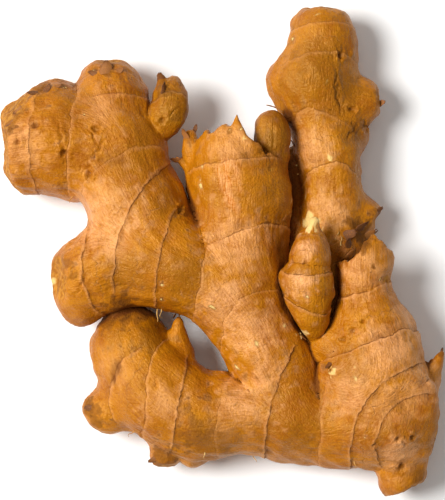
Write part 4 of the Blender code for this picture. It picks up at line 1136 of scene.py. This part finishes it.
def skin_material():
    """Amber skin with pale dry streaks along its fibres, painted highlights and painted shade in
    spots, brown torn ring edges, weathered patches with a painted shadow among them, tan broken
    flesh, and creases darkened red-brown by dirt and painted shade."""
    g = Graph("ginger_skin", {"Specular IOR Level": 0.6, "Specular Tint": GLOSS})
    grain = g.stored("grain", "Vector")
    mark = g.stored("mark")
    crease = g.stored("crease")
    dry = g.stored("dry")
    fine = streaks(g, grain, *FINE_STREAK, STREAK_TAPS)
    broad = streaks(g, grain, *BROAD_STREAK, STREAK_TAPS)
    cloud = g.noise(CLOUD_SIZE, 2.0)
    patch = g.noise(PATCH_SIZE, 3.0)
    grit = g.noise(GRIT_SIZE, 3.0, 0.6)

    body = g.mix(cloud.rise(0.36, 0.62), AMBER_DEEP, AMBER)
    body = g.mix(broad.rise(0.44, 0.6) * 0.5, body, HONEY)
    bloom_and_highlight = (fine + patch * 0.35).rise(0.6, 0.84)
    body = g.mix(bloom_and_highlight * 0.45, body, GOLD)
    # painted highlight: peach where the light falls brightest, broken into grains along the fibres
    broken_highlight = g.stored("bloom_and_highlight") * (fine * 1.6 + patch * 0.8 + grit * 0.5).rise(1.0, 1.8)
    body = g.mix(broken_highlight * 0.9, body, PEACH)
    # painted shade: olive darkening in spots
    body = g.mix(g.stored("shade") * (broad + cloud).rise(0.6, 1.2) * 0.9, body, OLIVE)
    body = g.mix(grit.rise(0.52, 0.7) * 0.4, body, AMBER_DEEP)
    body = g.mix(grit.rise(0.46, 0.3) * 0.3, body, GOLD)
    body = g.mix(g.stored("scrape") * 0.6, body, g.mix(fine.rise(0.42, 0.56), SCRAPED, PEACH))

    break_up = g.noise(BREAK_UP_SIZE, 2.0)
    wide = g.noise(WIDE_SIZE, 2.0)
    past = g.stored("ring") + (break_up - 0.5) * 0.4
    shaded = past.rise(-0.15, 0.1) * past.rise(3.0, 0.4) * mark
    body = g.mix(shaded * (0.15 + wide * 0.3), body, RING_SHADE)
    lip = past.rise(-1.5, -0.3) * past.rise(0.05, -0.25) * mark
    body = g.mix(lip * 0.3, body, PEACH)
    line = past.size().rise(0.34, 0.05) * wide.rise(0.3, 0.55) * mark
    body = g.mix(line * 0.75, body, RING_LINE)

    speck = g.noise(0.6, 1.0).rise(0.7, 0.77) * patch.rise(0.46, 0.62)
    body = g.mix(speck * 0.4, body, RING_LINE)
    # weathered brown stains, and a painted shadow where the arm shades the left finger's top
    stain_and_shadow_level = g.stored("stain_and_shadow") + (patch - 0.5) * 0.8 + (break_up - 0.5) * 0.6 + (grit - 0.5) * 0.5
    stain_and_shadow = stain_and_shadow_level.rise(0.35, 0.9) * 0.6 + stain_and_shadow_level.rise(1.1, 1.7) * 0.35
    body = g.mix(stain_and_shadow, body, g.mix(break_up.rise(0.4, 0.6), BARK, RING_SHADE))
    body = g.mix(g.stored("scar").rise(0.3, 1.0) * 0.7, body, RING_SHADE)
    flesh = g.mix(break_up.rise(0.35, 0.65), FLESH_DARK, FLESH)
    flesh = g.mix(patch.rise(0.5, 0.68) * 0.6, flesh, RING_LINE)
    body = g.mix(dry * 0.8, body, flesh)
    body = g.mix(g.stored("pale").rise(0.2, 0.8) * 0.8, body, STRAW)
    body = g.mix(1.0, body, g.stored("tint", "Vector"), "MULTIPLY")
    # creases darken red-brown: dirt, and painted shade where the skin is closed in
    crease_dirt_and_shade = (crease + (patch - 0.5) * 0.12).rise(0.5, 1.0)
    body = g.mix(crease_dirt_and_shade * 0.85, body, CREASE_DIRT_AND_SHADE)
    g.feed(g.shader.inputs["Base Color"], body)

    matt = line.most(stain_and_shadow).most(dry).most(crease_dirt_and_shade)
    rough = SKIN_ROUGHNESS + matt * 0.35 + (fine - 0.5) * 0.5 + (grit - 0.5) * 0.3
    g.feed(g.shader.inputs["Roughness"], rough)
    height = fine * 1.1 + grit * 0.9 + broad * 0.9 - line * 0.4 - speck * 0.3 + patch * 0.4
    g.feed(g.shader.inputs["Normal"], g.bump(height, SKIN_BUMP))
    return g.material


def scale_material():
    """Dry papery scale: brown at the root, greyer and darker at the torn tip, with fine grain."""
    g = Graph("papery_scale", {"Roughness": 0.7})
    tip, edge, shade = (g.stored(name) for name in ("tip", "edge", "shade"))
    grit = g.noise(0.35, 3.0, 0.6)
    colour = g.mix(shade.rise(0.1, 0.9), SCALE_BROWN, SCALE_TAN)
    colour = g.mix((tip + (grit - 0.5) * 0.8).rise(0.55, 1.1) * 0.75, colour, BARK)
    colour = g.mix(grit.rise(0.52, 0.7) * 0.5, colour, HONEY)
    colour = g.mix(edge.rise(0.8, 1.0) * 0.4, colour, RING_LINE)
    g.feed(g.shader.inputs["Base Color"], colour)
    g.feed(g.shader.inputs["Normal"], g.bump(grit, 0.12))
    return g.material


def thread_material():
    """Straw-coloured root thread, browner towards its tip."""
    g = Graph("root_thread", {"Roughness": 0.6})
    grit = g.noise(0.5, 2.0)
    colour = g.mix(g.stored("shade") * 0.8, STRAW, HONEY)
    colour = g.mix((g.stored("tip") + (grit - 0.5) * 0.9).rise(0.4, 1.1) * 0.6, colour, RING_SHADE)
    g.feed(g.shader.inputs["Base Color"], colour)
    g.feed(g.shader.inputs["Normal"], g.bump(grit, 0.08))
    return g.material


def floor_material():
    finish = {"Base Color": FLOOR_COLOUR, "Roughness": 0.9, "Specular IOR Level": 0.1}
    return Graph("pale_floor", finish).material


def dressed(obj, material):
    """Hangs a finished piece on the root's body, in the record's slot."""
    obj.data.materials.clear()
    obj.data.materials.append(material)
    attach(obj, "root")
    return obj


def studio():
    """A wide pale floor, a large soft key from the upper left, a weak fill, and pale air."""
    half = FLOOR_SIZE / 2
    corners = [(-half, -half, 0.0), (half, -half, 0.0), (half, half, 0.0), (-half, half, 0.0)]
    mesh = bpy.data.meshes.new("floor")
    mesh.from_pydata(corners, [], [(0, 1, 2, 3)])
    floor = bpy.data.objects.new("floor", mesh)
    bpy.context.scene.collection.objects.link(floor)
    mesh.materials.append(floor_material())
    for name, place, size, power, colour in LIGHTS:
        light = bpy.data.lights.new(name, "AREA")
        light.shape = "DISK"
        light.size = size
        light.energy = power
        light.color = colour
        lamp = bpy.data.objects.new(name, light)
        lamp.location = place
        lamp.rotation_euler = (-Vector(place)).to_track_quat("-Z", "Y").to_euler()
        bpy.context.scene.collection.objects.link(lamp)
    world = bpy.data.worlds.new("air")
    world.use_nodes = True
    world.node_tree.nodes["Background"].inputs["Color"].default_value = (*AIR_COLOUR, 1.0)
    world.node_tree.nodes["Background"].inputs["Strength"].default_value = AIR_STRENGTH
    bpy.context.scene.world = world
    bpy.context.scene.view_settings.view_transform = "Standard"


def camera():
    """Straight down, as the photograph was taken."""
    lens = bpy.data.cameras.new("camera")
    lens.lens = LENS
    lens.sensor_width = SENSOR
    lens.clip_end = CLIP_END
    eye = bpy.data.objects.new("camera", lens)
    eye.location = CAMERA_PLACE
    bpy.context.scene.collection.objects.link(eye)
    bpy.context.scene.camera = eye


OVERHEAD = 80.0  # a height above the whole hand, in millimetres
MID_HEIGHT = 14.0
CREASE_REACH = (1.5, 3.5)  # how far out of the skin its crease is felt for
SPOT_FULL = 0.5  # a spot is full to here and gone from there, beside its radius
SPOT_END = 1.5
SUNK = 0.12  # the share of a flake or rootlet that is under the skin
FLAKE_ROWS = 15
FLAKE_COLUMNS = 11
FLAKE_THICKNESS = 0.16
FLAKE_TEAR = (0.05, 0.2)  # drawn between these, as shares of the length
FLAKE_CURL = (0.05, 0.3)
FLAKE_CUP = (0.3, 0.9)  # as shares of the width
FLAKE_EDGE_WAVE = 0.12
FLAKE_RIPPLE = 0.05
THREAD_ROWS = 26
THREAD_SIDES = 9
THREAD_CURL = (0.1, 0.3)  # these three are shares of the length
THREAD_SAG = 0.25
THREAD_KINK = 0.12
THREAD_TAPER = 0.65  # these two are shares of the radius
THREAD_UNEVEN = 0.15
SKIN_ROUGHNESS = 0.42  # of plain skin

# Sizes in the skin's colour, and the depth of its bump, in millimetres
FINE_STREAK = (0.5, 0.42)  # the width of the streaks and the step along them
BROAD_STREAK = (2.2, 1.9)
STREAK_TAPS = 3  # steps to each side
CLOUD_SIZE = 17.0
PATCH_SIZE = 5.0
WIDE_SIZE = 3.5
BREAK_UP_SIZE = 1.6
GRIT_SIZE = 0.9
SKIN_BUMP = 0.42

AMBER = srgb(180, 106, 2)
AMBER_DEEP = srgb(156, 82, 1)
HONEY = srgb(190, 118, 8)
# the colour of the painted highlights, also of ring lips and scrapes
PEACH = srgb(242, 174, 116)
SCRAPED = srgb(196, 100, 6)
RING_SHADE = srgb(126, 70, 5)
RING_LINE = srgb(100, 48, 8)
OLIVE = srgb(132, 76, 2)
GOLD = srgb(202, 130, 14)
GLOSS = srgb(255, 220, 150)
BARK = srgb(100, 52, 6)
FLESH = srgb(190, 128, 42)
FLESH_DARK = srgb(146, 84, 10)
STRAW = srgb(240, 206, 130)
# dirt and painted shade in the creases
CREASE_DIRT_AND_SHADE = srgb(92, 38, 4)
SCALE_BROWN = srgb(108, 60, 14)
SCALE_TAN = srgb(152, 94, 36)
FLOOR_COLOUR = (0.97, 0.97, 0.97, 1.0)

# What the colour of a shoot is multiplied by
TINTS = {
    "middle_bud_right": (0.84, 0.9, 1.5),
    "crown_bud": (0.88, 0.96, 1.05),
    "front": (1.0, 1.03, 1.15),
    "far": (0.95, 0.97, 0.95),
    # far_root is darkened as painted shade, for the deep crevice it fills
    "far_root": (0.4, 0.25, 0.2),
    "far_bud": (0.78, 0.68, 0.6),
    "left": (0.98, 0.99, 1.0),
}

# Painted highlights: peach where the light falls brightest, as (x, y, radius, strength)
HIGHLIGHT_SPOTS = [
    (34, 95, 11, 0.9), (37.5, 86, 5, 0.8), (78, 86, 9, 0.8), (74, 66, 8, 0.8), (84, 57, 8, 0.9),
    (88, 43, 6, 0.9), (80, 34, 7, 1), (75, 68, 6, 1), (109, 97, 6, 0.9), (104, 118, 6, 0.8),
    (38, 45, 5, 0.3), (55, 33, 6, 0.6), (73, 24, 4, 0.7), (121, 77, 7, 0.7), (133.5, 61, 4.5, 0.8),
    (128, 50, 10, 0.9), (117, 38, 8, 0.8), (131, 33, 8, 0.5), (139, 40, 6, 0.7), (132.5, 17, 6, 1),
    (101, 84, 3.5, 0.9), (99, 73, 4, 0.9), (8, 118, 7, 0.6), (34, 131, 6, 0.5), (78, 119, 7, 0.6),
]

# Painted shade: darker olive skin where little light falls, as (x, y, radius, strength)
SHADE = [
    (46, 110, 10, 0.6), (26, 131, 7, 0.5), (54, 100, 5, 0.8), (60, 75, 9, 0.6), (50, 56, 6, 0.9),
    (37, 58, 5, 0.6), (70, 21, 7, 0.9), (43, 77, 7, 0.7), (46, 121, 6, 0.7), (61, 76, 8, 0.7),
    (97, 29, 12, 0.8), (88, 78, 8, 0.4), (88, 101, 7, 0.5), (70, 103, 5, 0.4), (106, 146, 9, 0.8),
    (114, 136, 8, 0.9), (98, 139, 6, 0.6), (119, 123, 6, 0.7), (115, 46, 7, 0.7), (122, 24, 8, 0.7),
    (139, 25, 8, 0.6), (135, 9, 6, 0.4), (90.3, 118, 7, 0.9), (58, 132, 6, 0.7),
]

# Pale spots, as (x, y, radius, strength)
PALE = [
    (103, 93.6, 2.4, 1), (105.5, 94.2, 1.3, 0.8), (105.3, 163, 0.7, 0.9), (17.4, 73.5, 1.2, 0.7),
    (108.7, 139.8, 0.6, 0.8), (81, 120.7, 0.7, 0.8), (109, 114.2, 0.9, 0.9), (109.7, 43.9, 1.2, 0.9),
    (100.3, 56.6, 1.6, 0.9),
]

# Rubbed skin, as (x, y) of both ends and a width
SCRAPES = [
    (74.5, 113, 76.8, 97, 1.3), (78, 111.5, 79.5, 104, 0.8), (72.5, 111, 74, 104, 0.8),
]

FLOOR_SIZE = 6.0
AIR_COLOUR = (1.0, 0.99, 0.97)
AIR_STRENGTH = 0.23
# As (name, place in metres, diameter, power, colour)
LIGHTS = [
    ("key", (-1.15, 0.22, 1.5), 1.0, 50.0, (1.0, 0.99, 0.97)),
    ("fill", (0.3, 0.5, 1.9), 1.6, 5.0, (1.0, 0.98, 0.96)),
]
CAMERA_PLACE = (0.0004, 0.0006, 1.2136)
LENS = 259.2
SENSOR = 36.0
CLIP_END = 20.0

skin, corner = grown_skin()
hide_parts("ginger_root")
dressed(skin, skin_material())
hand = Hand(skin, corner)
dressed(scale_flakes(hand), scale_material())
dressed(rootlets(hand), thread_material())
studio()
camera()
